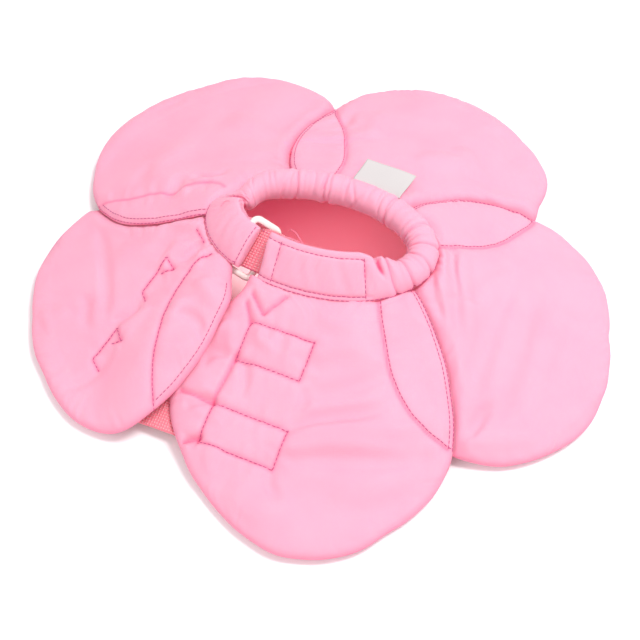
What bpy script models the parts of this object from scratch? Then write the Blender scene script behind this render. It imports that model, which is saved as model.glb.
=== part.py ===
# Flower recovery collar for a cat or small dog: five padded petals sewn round a soft neck roll.
# It lies open side up on a flat surface, as a low cone. Metres, +Z up, +Y away from the viewer.

import math
from collections import namedtuple

import bmesh
import bpy
from mathutils import Matrix, Vector

# Clearances
SEAM_GAP = 0.0013       # between two layers that are sewn through
REST_GAP = 0.0005       # between a piece and what it lies on or is sewn to
SOFT_GAP = 0.0010       # between a thin piece and the padding that it follows

# Neck: an oval seam, turned a little, that the petals hang from
NECK_HALF_LENGTH = 0.0634
NECK_HALF_WIDTH = 0.0391
NECK_TURN = math.radians(-17.5)
NECK_HEIGHT = 0.038

# The cone that the petals make between the neck seam and the floor
REST_RADIUS = 0.146     # where the petals come to lie flat
REST_MIDDLE = 0.004     # height of a petal's middle layer there, squeezed by its own weight
CONE_SAG = 1.25         # 1 is a straight cone, more is a sagging one

# Petals
PETAL_REACH = 0.0945    # from the neck's centre to a petal's centre
PETAL_HALF_LENGTH = 0.0765
PETAL_HALF_WIDTH = 0.0665
PETAL_THICKNESS = 0.012
PETAL_FULLNESS = 6      # power of the pillow's profile, higher is flatter with rounder edges
LENS_MARGIN = 0.10      # share of a petal past its edge that stays pressed to the seam
LENS_RISE = 0.28        # share over which the padding comes back to full height
PETAL_SEGMENTS = 40
PETAL_RINGS = 18

PetalRow = namedtuple("PetalRow", "name direction reach length width turn pinch_at pinch")

# direction and turn in degrees, reach, length and width as shares of the petal sizes above,
# pinch as a share of the half width, pulled in at the direction pinch_at from the petal's centre
PETALS = (
    PetalRow("petal_front", -92.8, 0.894, 1.065, 1.068, -81.0, 131.0, 0.20),
    PetalRow("petal_right", -22.5, 1.051, 1.043, 0.950, -94.0, 0.0, 0.0),
    PetalRow("petal_back_right", 50.2, 0.927, 0.962, 1.063, -172.0, 0.0, 0.0),
    PetalRow("petal_back_left", 124.5, 1.049, 0.987, 1.006, -161.0, 0.0, 0.0),
    PetalRow("petal_left", -167.0, 1.082, 0.954, 0.887, -87.0, 6.0, 0.16),
)
PINCH_SPREAD = math.radians(22)

# Closure: the left petal's free edge lies over the front petal
CLOSURE_LIFT = 0.0110
CLOSURE_THINNING = 0.33
CLOSURE_DROOP = 0.0030
CLOSURE_START = 1.12    # shares of the front petal's outline
CLOSURE_END = 1.60
CLOSURE_NECK_EASE = 0.025

# Neck band: a gathered roll round the back and right, a flat band in front, a flat tab at the left
ROLL_DIAMETER = 0.016
BAND_WIDTH = 0.026
BAND_THICKNESS = 0.006
TAB_THICKNESS = 0.0072
BAND_SQUARENESS = 3.2   # power of the section's outline, 2 is an ellipse
BAND_SIDES = 20
BAND_STEP = math.radians(6)

BandRow = namedtuple("BandRow", "angle width thickness tilt")

# angle round the seam in degrees of the oval, from the front band's end anticlockwise,
# widths as shares of BAND_WIDTH, thicknesses of ROLL_DIAMETER, tilt in degrees from level
BAND_SECTIONS = (
    BandRow(-112, 1.00, 0.375, 41),
    BandRow(-62, 1.00, 0.405, 47),
    BandRow(-47, 0.84, 0.70, 42),
    BandRow(-30, 0.63, 0.95, 35),
    BandRow(0, 0.62, 1.00, 30),
    BandRow(60, 0.62, 1.00, 30),
    BandRow(120, 0.62, 1.00, 30),
    BandRow(150, 0.64, 0.97, 32),
    BandRow(170, 0.86, 0.62, 37),
    BandRow(185, 0.98, 0.46, 40),
    BandRow(233, 0.94, 0.45, 40),
)
BAND_END_FILL = (0.62, 0.90)    # how full the last sections are at each end

# Rectangular strap ring of round wire, and the hook strip that runs through it
RING_WIRE = 0.0034
RING_WINDOW = 0.0272    # clear size along the bars
RING_SPAN = 0.0150      # between the two bars' centres
RING_CORNER = 0.0030
RING_INSET = 0.0050     # from the tab's end to the bar that it holds
STRAP_WIDTH = 0.024
STRAP_THICKNESS = 0.0014
STRAP_START = math.radians(-80)
STRAP_PAST_TAB = 0.014
STRAP_DROP = TAB_THICKNESS / 2.0 + REST_GAP + STRAP_THICKNESS / 2.0

# Hook strips under the front petal and loop patches under the left petal
HOOK_LENGTH = 0.080
LOOP_LENGTH = 0.040
PATCH_WIDTH = 0.020
PATCH_THICKNESS = 0.0014
PATCH_PRESS = 0.50      # share of the underside's padding that the sewn strips press flat
PATCH_REACH = 0.009     # how far round a strip the padding stays pressed, and how far it recovers

PatchRow = namedtuple("PatchRow", "name petal along across heading length")

# along and across: place of the middle, as shares of the petal's half length and half width
# from its centre, outwards from the neck and to its left, heading in degrees
HOOK_STRIPS = (
    PatchRow("petal_hook_strip_upper", "petal_front", -0.302, -0.582, 157.0, HOOK_LENGTH),
    PatchRow("petal_hook_strip_lower", "petal_front", 0.217, -0.742, 157.0, HOOK_LENGTH),
)
LOOP_PATCHES = (
    PatchRow("petal_loop_patch_upper", "petal_left", -0.34, 0.21, -39.0, LOOP_LENGTH),
    PatchRow("petal_loop_patch_lower", "petal_left", 0.0, 0.66, -39.0, LOOP_LENGTH),
)

# Bare satin tab sewn into the back of the neck seam
LABEL_WIDTH = 0.028
LABEL_LENGTH = 0.022
LABEL_THICKNESS = 0.0005
LABEL_ROOT = 0.0028     # from the seam to the label's root
LABEL_DIRECTION = math.radians(45)
LABEL_TURN = math.radians(-19)

PINK = (0.98, 0.47, 0.66, 1.0)
CORAL = (0.90, 0.20, 0.25, 1.0)
IVORY = (0.93, 0.87, 0.86, 1.0)
SATIN = (0.90, 0.88, 0.88, 1.0)


def smooth_step(value):
    value = min(max(value, 0.0), 1.0)
    return value * value * (3.0 - 2.0 * value)


def turned(x, y, angle):
    return (x * math.cos(angle) - y * math.sin(angle), x * math.sin(angle) + y * math.cos(angle))


def oval_radius(angle, half_length, half_width):
    return 1.0 / math.hypot(math.cos(angle) / half_length, math.sin(angle) / half_width)


def neck_point(angle, outset=0.0):
    """Point of the neck seam in plan at an angle of the oval, moved outwards."""
    x, y = turned(NECK_HALF_LENGTH * math.cos(angle), NECK_HALF_WIDTH * math.sin(angle), NECK_TURN)
    out = neck_normal(angle)
    return Vector((x, y, 0.0)) + out * outset


def neck_normal(angle):
    x, y = turned(math.cos(angle) / NECK_HALF_LENGTH, math.sin(angle) / NECK_HALF_WIDTH, NECK_TURN)
    return Vector((x, y, 0.0)).normalized()


def past_neck(x, y):
    """Distance outwards from the neck seam along the ray from its centre."""
    return math.hypot(x, y) - oval_radius(math.atan2(y, x) - NECK_TURN, NECK_HALF_LENGTH, NECK_HALF_WIDTH)


def middle_height(x, y):
    """Height of the layer that halves the padding, on the cone from the seam to the floor."""
    reach = math.hypot(x, y)
    out = past_neck(x, y)
    share = min(max(out / max(REST_RADIUS - reach + out, 1e-6), 0.0), 1.0)
    return REST_MIDDLE + (NECK_HEIGHT - REST_MIDDLE) * (1.0 - share) ** CONE_SAG


def petal_row(name):
    return next(row for row in PETALS if row.name == name)


def petal_centre(petal):
    angle = math.radians(petal.direction)
    reach = PETAL_REACH * petal.reach
    return reach * math.cos(angle), reach * math.sin(angle)


def seam_distance(x, y, angle):
    """Distance from a point along a direction to the neck seam, or None where it passes by."""
    half_length = NECK_HALF_LENGTH + REST_GAP
    half_width = NECK_HALF_WIDTH + REST_GAP
    px, py = turned(x, y, -NECK_TURN)
    dx, dy = turned(math.cos(angle), math.sin(angle), -NECK_TURN)
    a = (dx / half_length) ** 2 + (dy / half_width) ** 2
    b = px * dx / half_length ** 2 + py * dy / half_width ** 2
    c = (px / half_length) ** 2 + (py / half_width) ** 2 - 1.0
    root = b * b - a * c
    if root <= 0.0 or b >= 0.0:
        return None
    return (-b - math.sqrt(root)) / a


def rim_radius(petal, angle):
    """From the petal's centre to its edge: an oval, cut by the neck seam."""
    radius = oval_radius(angle - math.radians(petal.turn),
                         PETAL_HALF_LENGTH * petal.length, PETAL_HALF_WIDTH * petal.width)
    offset = (angle - math.radians(petal.pinch_at) + math.pi) % (2.0 * math.pi) - math.pi
    radius -= PETAL_HALF_WIDTH * petal.pinch * math.exp(-(offset / PINCH_SPREAD) ** 2)
    to_seam = seam_distance(*petal_centre(petal), angle)
    return radius if to_seam is None else min(radius, to_seam)


def petal_share(petal, x, y):
    """0 at the petal's centre, 1 on its edge, more outside it."""
    cx, cy = petal_centre(petal)
    return math.hypot(x - cx, y - cy) / rim_radius(petal, math.atan2(y - cy, x - cx))


def pillow(share):
    return math.sqrt(max(1.0 - share ** PETAL_FULLNESS, 0.0))


def outside(petal, x, y):
    """0 on and just past another petal, 1 well clear of it."""
    if petal is None:
        return 1.0
    return smooth_step((petal_share(petal, x, y) - 1.0 - LENS_MARGIN) / LENS_RISE)


def neighbours(petal):
    """The petal that lies over this one and the petal under it, sewn together in a lens."""
    index = PETALS.index(petal)
    over = PETALS[index - 1] if index > 0 else None
    under = PETALS[index + 1] if index + 1 < len(PETALS) else None
    return over, under


def closure_share(petal, x, y):
    """How much of the closure's lift the left petal has at a place: it lies over the front one."""
    if petal.name != "petal_left":
        return 0.0
    front = petal_share(petal_row("petal_front"), x, y)
    near_front = smooth_step((CLOSURE_END - front) / (CLOSURE_END - CLOSURE_START))
    return near_front * smooth_step(past_neck(x, y) / CLOSURE_NECK_EASE)


def patch_middle(row):
    """Middle of a strip in plan, from the shares of its petal in its row."""
    petal = petal_row(row.petal)
    cx, cy = petal_centre(petal)
    dx, dy = turned(PETAL_HALF_LENGTH * row.along, PETAL_HALF_WIDTH * row.across, math.radians(petal.direction))
    return cx + dx, cy + dy


def pressed(petal, x, y):
    """1 where a strip is sewn to the petal's underside, 0 away from it."""
    most = 0.0
    for row in HOOK_STRIPS + LOOP_PATCHES:
        if row.petal != petal.name:
            continue
        mx, my = patch_middle(row)
        along, across = turned(x - mx, y - my, -math.radians(row.heading))
        outside_by = max(abs(along) - row.length / 2.0, abs(across) - PATCH_WIDTH / 2.0)
        most = max(most, smooth_step(2.0 - outside_by / PATCH_REACH))
    return most


def petal_faces(petal, x, y, share=None):
    """Heights of a petal's under and upper face at a place."""
    share = petal_share(petal, x, y) if share is None else share
    over, under = neighbours(petal)
    free_above = outside(over, x, y)
    free_below = outside(under, x, y)
    lifted = closure_share(petal, x, y)
    half = PETAL_THICKNESS / 2.0 * (1.0 - CLOSURE_THINNING * lifted)
    edge = middle_height(x, y) + SEAM_GAP / 2.0 * (free_above - free_below)
    edge += lifted * (CLOSURE_LIFT - CLOSURE_DROOP * min(share, 1.0) ** 8)
    full = half * pillow(min(share, 1.0))
    low = edge - full * free_below * (1.0 - PATCH_PRESS * pressed(petal, x, y))
    return max(low, 0.0), edge + full * free_above


def band_section(angle):
    """Width, thickness and tilt of the neck band at an angle of the oval."""
    degrees = math.degrees(angle)
    for low, high in zip(BAND_SECTIONS, BAND_SECTIONS[1:]):
        if degrees <= high.angle:
            break
    share = smooth_step((degrees - low.angle) / (high.angle - low.angle))
    width = BAND_WIDTH * (low.width + share * (high.width - low.width))
    thickness = ROLL_DIAMETER * (low.thickness + share * (high.thickness - low.thickness))
    tilt = math.radians(low.tilt + share * (high.tilt - low.tilt))
    return width, thickness, tilt


def band_frame(angle):
    """Middle of the band's section, its direction inwards and up, and its outward normal."""
    width, thickness, tilt = band_section(angle)
    out = neck_normal(angle)
    up = Vector((0.0, 0.0, 1.0))
    rise = up * math.sin(tilt) - out * math.cos(tilt)
    normal = out * math.sin(tilt) + up * math.cos(tilt)
    roundness = thickness / 2.0 * (1.0 - math.sin(tilt) ** 2)
    middle = neck_point(angle, -roundness * 0.25) + up * (NECK_HEIGHT + thickness * 0.10) + rise * width / 2.0
    return middle, rise, normal


def arc_angles(start, length):
    """Angles of the oval from start over a length of seam, forwards or backwards."""
    steps = 8
    angles = [start]
    for _ in range(steps):
        here = angles[-1]
        speed = math.hypot(NECK_HALF_LENGTH * math.sin(here), NECK_HALF_WIDTH * math.cos(here))
        angles.append(here + length / steps / speed)
    return angles


def material(name, colour, roughness):
    made = bpy.data.materials.new(name)
    made.use_nodes = True
    shader = made.node_tree.nodes["Principled BSDF"]
    shader.inputs["Base Color"].default_value = colour
    shader.inputs["Roughness"].default_value = roughness
    shader.inputs["Metallic"].default_value = 0.0
    return made


def add_object(name, data, collection, colour, roughness):
    made = bpy.data.objects.new(name, data)
    data.materials.append(material(name, colour, roughness))
    collection.objects.link(made)
    return made


def mesh_object(name, shape, collection, colour, roughness, smooth=True):
    mesh = bpy.data.meshes.new(name)
    bmesh.ops.recalc_face_normals(shape, faces=shape.faces)
    shape.to_mesh(mesh)
    shape.free()
    if smooth:
        mesh.shade_smooth()
    return add_object(name, mesh, collection, colour, roughness)


def make_petal(petal, collection):
    """A pillow from a sphere: its equator is the petal's edge, its rings lie at shares of it."""
    shape = bmesh.new()
    bmesh.ops.create_uvsphere(shape, u_segments=PETAL_SEGMENTS, v_segments=PETAL_RINGS, radius=1.0)
    cx, cy = petal_centre(petal)
    for vertex in shape.verts:
        share = min(math.hypot(vertex.co.x, vertex.co.y), 1.0)
        angle = math.atan2(vertex.co.y, vertex.co.x)
        radius = share * rim_radius(petal, angle)
        x = cx + radius * math.cos(angle)
        y = cy + radius * math.sin(angle)
        low, high = petal_faces(petal, x, y, share)
        on_top = vertex.co.z >= 0.0
        vertex.co = (x, y, high if on_top else low)
    return mesh_object(petal.name, shape, collection, PINK, 0.75)


def band_ring(angle, fill):
    """Points round one section of the neck band."""
    width, thickness, _ = band_section(angle)
    middle, rise, normal = band_frame(angle)
    flatness = smooth_step((width / thickness - 1.0) / 2.0)
    power = 2.0 / (2.0 + (BAND_SQUARENESS - 2.0) * flatness)
    points = []
    for side in range(BAND_SIDES):
        turn = 2.0 * math.pi * side / BAND_SIDES
        across = math.copysign(abs(math.cos(turn)) ** power, math.cos(turn))
        through = math.copysign(abs(math.sin(turn)) ** power, math.sin(turn))
        points.append(middle + rise * across * fill * width / 2.0 + normal * through * fill * thickness / 2.0)
    return points


def loft(shape, rings):
    """Closed skin through rings of as many points each, with flat ends."""
    rows = [[shape.verts.new(point) for point in ring] for ring in rings]
    count = len(rows[0])
    for low, high in zip(rows, rows[1:]):
        for side in range(count):
            after = (side + 1) % count
            shape.faces.new((low[side], low[after], high[after], high[side]))
    shape.faces.new(rows[0][::-1])
    shape.faces.new(rows[-1])


def make_neck_band(collection, cutter):
    start = math.radians(BAND_SECTIONS[0].angle)
    end = math.radians(BAND_SECTIONS[-1].angle)
    near_start = arc_angles(start, BAND_THICKNESS / 2.0)
    near_end = arc_angles(end, -BAND_THICKNESS / 2.0)
    steps = round((near_end[-1] - near_start[-1]) / BAND_STEP)
    even = [near_start[-1] + (near_end[-1] - near_start[-1]) * step / steps for step in range(steps + 1)]
    thin, full = BAND_END_FILL
    stations = [(near_start[0], thin), (near_start[2], full)]
    stations += [(angle, 1.0) for angle in even]
    stations += [(near_end[2], full), (near_end[0], thin)]
    shape = bmesh.new()
    loft(shape, [band_ring(angle, fill) for angle, fill in stations])
    band = mesh_object("neck_band", shape, collection, PINK, 0.75)
    cut = band.modifiers.new("ring_tunnel", "BOOLEAN")
    cut.operation = "DIFFERENCE"
    cut.object = cutter
    return band


def closure_frame(angle):
    """Frame of the line that the open closure follows, from the tab's end to the front band's end."""
    front_end = math.radians(BAND_SECTIONS[0].angle)
    tab_end = math.radians(BAND_SECTIONS[-1].angle) - 2.0 * math.pi
    closing = smooth_step((front_end - angle) / (front_end - tab_end))
    front = band_frame(max(angle, front_end))
    tab = band_frame(min(angle, tab_end) + 2.0 * math.pi)
    middle = front[0].lerp(tab[0], closing)
    rise = front[1].lerp(tab[1], closing).normalized()
    normal = front[2].lerp(tab[2], closing).normalized()
    return middle, rise, normal


def strap_point(angle, across):
    """Middle layer of the hook strip: under the front band and the tab, across from -1 to 1."""
    middle, rise, normal = closure_frame(angle)
    return middle + rise * across * STRAP_WIDTH / 2.0 - normal * STRAP_DROP


def ring_frame():
    """The held bar's middle, the direction to the free bar, and the direction along the bars."""
    tab_end = math.radians(BAND_SECTIONS[-1].angle) - 2.0 * math.pi
    held, along, _ = closure_frame(arc_angles(tab_end, -RING_INSET)[-1])
    drop = STRAP_DROP + STRAP_THICKNESS / 2.0 + REST_GAP + RING_WIRE / 2.0
    ahead = math.sqrt(RING_SPAN ** 2 - drop ** 2) - RING_INSET
    free, _, normal = closure_frame(arc_angles(tab_end, ahead)[-1])
    across = free - normal * drop - held
    across = (across - along * across.dot(along)).normalized()
    return held, across, along


def make_strap_ring(collection):
    held, across, along = ring_frame()
    half_span = RING_SPAN / 2.0
    half_length = (RING_WINDOW + RING_WIRE) / 2.0
    curve = bpy.data.curves.new("strap_ring", "CURVE")
    curve.dimensions = "3D"
    curve.bevel_depth = RING_WIRE / 2.0
    curve.bevel_resolution = 2
    points = []
    for corner, (right, top) in enumerate(((1, 1), (-1, 1), (-1, -1), (1, -1))):
        for step in range(4):
            turn = math.radians(90 * corner + 30 * step)
            points.append((right * (half_span - RING_CORNER) + RING_CORNER * math.cos(turn),
                           top * (half_length - RING_CORNER) + RING_CORNER * math.sin(turn)))
    spline = curve.splines.new("POLY")
    spline.points.add(len(points) - 1)
    spline.use_cyclic_u = True
    for point, (x, y) in zip(spline.points, points):
        point.co = (x, y, 0.0, 1.0)
    ring = add_object("strap_ring", curve, collection, IVORY, 0.3)
    facing = across.cross(along)
    ring.matrix_world = Matrix((across, along, facing)).transposed().to_4x4()
    ring.location = held + across * half_span
    return ring


def make_tunnel_cutter(collection):
    """Round bar with clearance: the tunnel through the tab for the ring's held bar."""
    held, _, along = ring_frame()
    shape = bmesh.new()
    radius = RING_WIRE / 2.0 + REST_GAP
    bmesh.ops.create_cone(shape, cap_ends=True, segments=12, radius1=radius, radius2=radius,
                          depth=BAND_WIDTH * 1.5)
    cutter = mesh_object("ring_tunnel_cutter", shape, collection, IVORY, 0.5)
    cutter.rotation_euler = along.to_track_quat("Z", "Y").to_euler()
    cutter.location = held
    cutter.hide_render = True
    cutter.display_type = "WIRE"
    return cutter


def slab(name, place, columns, rows, thickness, collection, colour, roughness):
    """A thin strip: a grid laid out by place(along, across), both from -1 to 1, with a thickness."""
    shape = bmesh.new()
    bmesh.ops.create_grid(shape, x_segments=columns, y_segments=rows, size=1.0)
    for vertex in shape.verts:
        vertex.co = place(vertex.co.x, vertex.co.y)
    strip = mesh_object(name, shape, collection, colour, roughness, smooth=False)
    wall = strip.modifiers.new("thickness", "SOLIDIFY")
    wall.thickness = thickness
    wall.offset = 0.0
    return strip


def make_neck_hook_strip(collection):
    """Sewn inside the front band, over the ring's free bar, through its window and under the tab."""
    tab_end = math.radians(BAND_SECTIONS[-1].angle) - 2.0 * math.pi
    last = arc_angles(tab_end, -STRAP_PAST_TAB)[-1]

    def place(along, across):
        return strap_point(STRAP_START + (last - STRAP_START) * (along + 1.0) / 2.0, across)

    return slab("neck_hook_strip", place, 20, 4, STRAP_THICKNESS, collection, CORAL, 0.8)


def under_petal(row, collection, colour):
    """A flat strip sewn to a petal's underside, running straight in plan."""
    petal = petal_row(row.petal)
    mx, my = patch_middle(row)
    heading = math.radians(row.heading)

    def place(along, across):
        dx, dy = turned(along * row.length / 2.0, across * PATCH_WIDTH / 2.0, heading)
        x, y = mx + dx, my + dy
        underside, _ = petal_faces(petal, x, y, 0.0)
        return Vector((x, y, underside - SOFT_GAP - PATCH_THICKNESS / 2.0))

    return slab(row.name, place, 8, 3, PATCH_THICKNESS, collection, colour, 0.8)


def make_label(collection):
    """Lies on the back right petal, its root at the neck seam."""
    petal = petal_row("petal_back_right")
    reach = oval_radius(LABEL_DIRECTION - NECK_TURN, NECK_HALF_LENGTH, NECK_HALF_WIDTH)
    rx, ry = reach * math.cos(LABEL_DIRECTION), reach * math.sin(LABEL_DIRECTION)
    heading = LABEL_DIRECTION - LABEL_TURN

    def place(along, across):
        out = (along + 1.0) / 2.0 * LABEL_LENGTH + LABEL_ROOT
        dx, dy = turned(out, across * LABEL_WIDTH / 2.0, heading)
        x, y = rx + dx, ry + dy
        _, top = petal_faces(petal, x, y)
        return Vector((x, y, top + SOFT_GAP + LABEL_THICKNESS / 2.0))

    return slab("side_label", place, 5, 5, LABEL_THICKNESS, collection, SATIN, 0.5)


def recentre(objects):
    """Origin under the middle of the whole collar, on the surface that it lies on."""
    bpy.context.view_layer.update()
    graph = bpy.context.evaluated_depsgraph_get()
    corners = []
    for item in objects:
        ready = item.evaluated_get(graph)
        mesh = ready.to_mesh()
        corners += [item.matrix_world @ vertex.co for vertex in mesh.vertices]
        ready.to_mesh_clear()
    shift = Vector([-(max(c[axis] for c in corners) + min(c[axis] for c in corners)) / 2.0 for axis in (0, 1)])
    return Vector((shift.x, shift.y, 0.0))


def build():
    for item in list(bpy.data.objects):
        bpy.data.objects.remove(item, do_unlink=True)
    collar = bpy.data.collections.new("flower_recovery_collar")
    cutters = bpy.data.collections.new("cutters")
    bpy.context.scene.collection.children.link(collar)
    bpy.context.scene.collection.children.link(cutters)
    cutter = make_tunnel_cutter(cutters)
    for petal in PETALS:
        make_petal(petal, collar)
    make_neck_band(collar, cutter)
    make_strap_ring(collar)
    make_neck_hook_strip(collar)
    for row in HOOK_STRIPS:
        under_petal(row, collar, CORAL)
    for row in LOOP_PATCHES:
        under_petal(row, collar, PINK)
    make_label(collar)
    shift = recentre(collar.objects)
    for item in list(collar.objects) + [cutter]:
        item.location += shift


build()
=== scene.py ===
# Padded flower collar for a pet, lying open side up: five quilted petals, a gathered neck roll,
# a strap through a plastic ring, hook tape, a satin tab and all the stitching.

import math

import bpy
import numpy as np
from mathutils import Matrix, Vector
from mathutils.bvhtree import BVHTree


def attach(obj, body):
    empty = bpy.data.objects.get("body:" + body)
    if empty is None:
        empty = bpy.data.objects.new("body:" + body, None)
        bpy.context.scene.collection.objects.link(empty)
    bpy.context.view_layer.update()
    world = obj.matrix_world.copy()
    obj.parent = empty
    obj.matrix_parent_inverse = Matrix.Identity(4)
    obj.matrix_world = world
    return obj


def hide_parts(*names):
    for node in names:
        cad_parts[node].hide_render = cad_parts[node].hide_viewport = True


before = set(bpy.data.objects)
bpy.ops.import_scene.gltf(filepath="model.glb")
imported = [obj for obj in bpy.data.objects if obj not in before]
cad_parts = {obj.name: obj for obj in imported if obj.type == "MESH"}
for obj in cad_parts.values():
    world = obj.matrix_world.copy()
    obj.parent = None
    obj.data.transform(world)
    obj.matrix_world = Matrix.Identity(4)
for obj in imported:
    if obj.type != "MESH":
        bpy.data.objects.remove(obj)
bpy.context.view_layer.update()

mm = 0.001
scene = bpy.context.scene
scene.view_settings.view_transform = "Standard"
print("frame loaded:", len(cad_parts), "nodes")

# the collar's plan, the same sizes as its solids
plan = {
    "neckCentre": (1.825 * mm, 8.073 * mm),  # in the frame, whose origin is the whole collar's middle
    "neckHalfLength": 63.4 * mm,
    "neckHalfWidth": 39.1 * mm,
    "neckTurn": math.radians(-17.5),
    "neckHeight": 38 * mm,
    "restRadius": 146 * mm,
    "restMiddle": 4 * mm,
    "coneSag": 1.25,
    "petalReach": 94.5 * mm,
    "petalHalfLength": 76.5 * mm,
    "petalHalfWidth": 66.5 * mm,
    "petalThickness": 12 * mm,
    "seamGap": 1.3 * mm,
    "restGap": 0.5 * mm,
    "seamTuck": 2.5 * mm,     # how far a petal's neck edge goes under the band
    "drawnIn": 7.0 * mm,      # the seam is drawn in where the roll ends at the tab
    "drawnInAt": math.radians(155),
    "lapLift": 2.0 * mm,      # a lapping edge rides up on the padding under it
}

# direction and turn in degrees, the rest in shares of the sizes above, as in the solids
petalSizes = ("name", "direction", "reach", "length", "width", "turn", "pinchAt", "pinch")
petalRows = [dict(zip(petalSizes, row)) for row in (
    ("petal_front", -92.8, 0.894, 1.065, 1.068, -81, 131, 0.20),
    ("petal_right", -22.5, 1.051, 1.043, 0.950, -94, 0, 0),
    ("petal_back_right", 50.2, 0.927, 0.962, 1.063, -172, 0, 0),
    ("petal_back_left", 124.5, 1.049, 0.987, 1.006, -161, 0, 0),
    ("petal_left", -167.0, 1.082, 0.954, 0.887, -87, 6, 0.16),
)]
frontPetal, backRightPetal, backLeftPetal, leftPetal = 0, 2, 3, 4  # places in petalRows
pinchSpread = math.radians(22)

# small departures of each outline from its oval: angle in degrees, mm outwards
outlineFix = (
    ((0, -1.5), (10, -1.8), (23, -2.5), (42, -2.0), (60, 0), (112, 0), (122, -3), (134, 0), (160, 1.5),
     (184, 2.0), (200, -0.3), (216, -1.4), (232, -1.8), (240, -0.5), (256, 1.7), (272, 1.1), (288, -0.9),
     (296, -2.4), (304, -2.0), (312, -0.7), (320, 0.9), (336, 2.2), (350, 0)),
    ((0, -0.6), (8, 0.5), (16, 2.3), (24, 3.7), (40, 4.8), (56, 3.5), (68, 0), (82, -3.5), (95, -3.3),
     (110, -1.5), (127, 1), (150, 0), (203, -0.9), (213, 1.0), (232, 3.0), (244, 1.8), (256, 0.3), (272,
     -1.1), (288, -1.3), (304, 1.3), (320, 0.6), (344, -0.4), (352, -1.4)),
    ((0, 3.0), (8, 2.4), (16, 0.7), (28, -0.9), (48, -0.1), (64, 0.9), (80, 2.6), (104, 4.5), (116, 4.0),
     (126, 0), (141, -3), (160, -2), (182, 0), (197, 2), (230, 0), (262, 3), (271, 5), (285, 3.5), (299,
     2.6), (315, 1), (328, 1.5), (338, -1), (346, -0.9), (352, 1.5)),
    ((8, -4.5), (22, -5.0), (30, 0.5), (40, 4.0), (48, 5.5), (60, 5.2), (80, 3.0), (92, 0.3), (112, -1.8),
     (124, -2.0), (144, -0.9), (160, 1.0), (184, 1.9), (198, 4.0), (212, 5.0), (224, 4.0), (238, 0.5),
     (254, -2), (275, 0), (315, 4), (328, 6), (341, 2), (354, -3)),
    ((0, 4.5), (55, 8), (62, 2), (74, -7), (96, -8.5), (108, 0), (114, 5.5), (128, 4.2), (144, 2.5), (160,
     1.1), (172, -1.2), (184, -2.5), (208, -1.8), (224, -2.2), (236, 0.5), (250, 3.4), (262, 4.5), (270,
     4.5), (278, 0.5), (285, -2.5), (301, -7.2), (318, -7.5), (330, -6.5), (341, -1.9)),
)


# small numeric helpers

def smoothStep(value):
    value = np.clip(value, 0.0, 1.0)
    return value * value * (3.0 - 2.0 * value)


def rotated(x, y, angle):
    return x * np.cos(angle) - y * np.sin(angle), x * np.sin(angle) + y * np.cos(angle)


def ovalRadius(angle, halfLength, halfWidth):
    return 1.0 / np.hypot(np.cos(angle) / halfLength, np.sin(angle) / halfWidth)


def bell(value, width, power=2):
    return np.exp(-(np.abs(value) / width) ** power)


def signedPower(value, power):
    return np.sign(value) * np.abs(value) ** power


def waves(x, y, size, seed, count=14):
    # soft noise from -1 to 1: plane waves of about one size in random directions
    rng = np.random.default_rng(seed)
    total = np.zeros_like(x)
    for _ in range(count):
        heading, phase = rng.uniform(0, 2 * math.pi, 2)
        pitch = size * rng.uniform(0.7, 1.5)
        total = total + np.sin((x * math.cos(heading) + y * math.sin(heading)) * 2 * math.pi / pitch + phase)
    return total / math.sqrt(count)


def ripple(s, size, seed, count=7):
    # the same along a line
    rng = np.random.default_rng(seed)
    total = np.zeros_like(s)
    for _ in range(count):
        pitch = size * rng.uniform(0.65, 1.7)
        total = total + np.sin(s * 2 * math.pi / pitch + rng.uniform(0, 2 * math.pi))
    return total / math.sqrt(count)


def lineDistance(x, y, line):
    # distance from many points to a polyline, and how far along it the nearest place is
    best = np.full(x.shape, 9.0)
    place = np.zeros_like(x)
    run = 0.0
    for (ax, ay), (bx, by) in zip(line, line[1:]):
        length = math.hypot(bx - ax, by - ay)
        if length < 1e-9:
            continue
        share = np.clip(((x - ax) * (bx - ax) + (y - ay) * (by - ay)) / length ** 2, 0.0, 1.0)
        gap = np.hypot(x - ax - share * (bx - ax), y - ay - share * (by - ay))
        closer = gap < best
        best = np.where(closer, gap, best)
        place = np.where(closer, run + share * length, place)
        run += length
    return best, place


def smoothLine(points, step=1.5 * mm):
    # even points on a smooth curve through a few
    points = [np.array(point, float) for point in points]
    dense = []
    for index in range(len(points) - 1):
        before = points[max(index - 1, 0)]
        start, end = points[index], points[index + 1]
        after = points[min(index + 2, len(points) - 1)]
        for t in np.linspace(0, 1, 16, endpoint=False):
            bend = (2 * before - 5 * start + 4 * end - after) * t * t
            dense.append(0.5 * (2 * start + (end - before) * t + bend
                                + (3 * start - before - 3 * end + after) * t ** 3))
    dense.append(points[-1])
    return evenly(dense, step)


def evenly(points, step):
    points = np.array(points)
    reach = np.concatenate([[0.0], np.cumsum(np.linalg.norm(np.diff(points, axis=0), axis=1))])
    places = np.linspace(0.0, reach[-1], max(int(reach[-1] / step), 1) + 1)
    return np.stack([np.interp(places, reach, points[:, axis]) for axis in range(points.shape[1])], axis=1)


def mmLine(*points):
    return smoothLine([(x * mm, y * mm) for x, y in points])


# the shapes that the petals follow, round the neck's centre

def pastNeck(x, y):
    # distance outwards from the neck's oval
    angle = np.arctan2(y, x) - plan["neckTurn"]
    return np.hypot(x, y) - ovalRadius(angle, plan["neckHalfLength"], plan["neckHalfWidth"])


def middleHeight(x, y):
    reach = np.hypot(x, y)
    out = pastNeck(x, y)
    share = np.clip(out / np.maximum(plan["restRadius"] - reach + out, 1e-6), 0.0, 1.0)
    return plan["restMiddle"] + (plan["neckHeight"] - plan["restMiddle"]) * (1.0 - share) ** plan["coneSag"]


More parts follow.
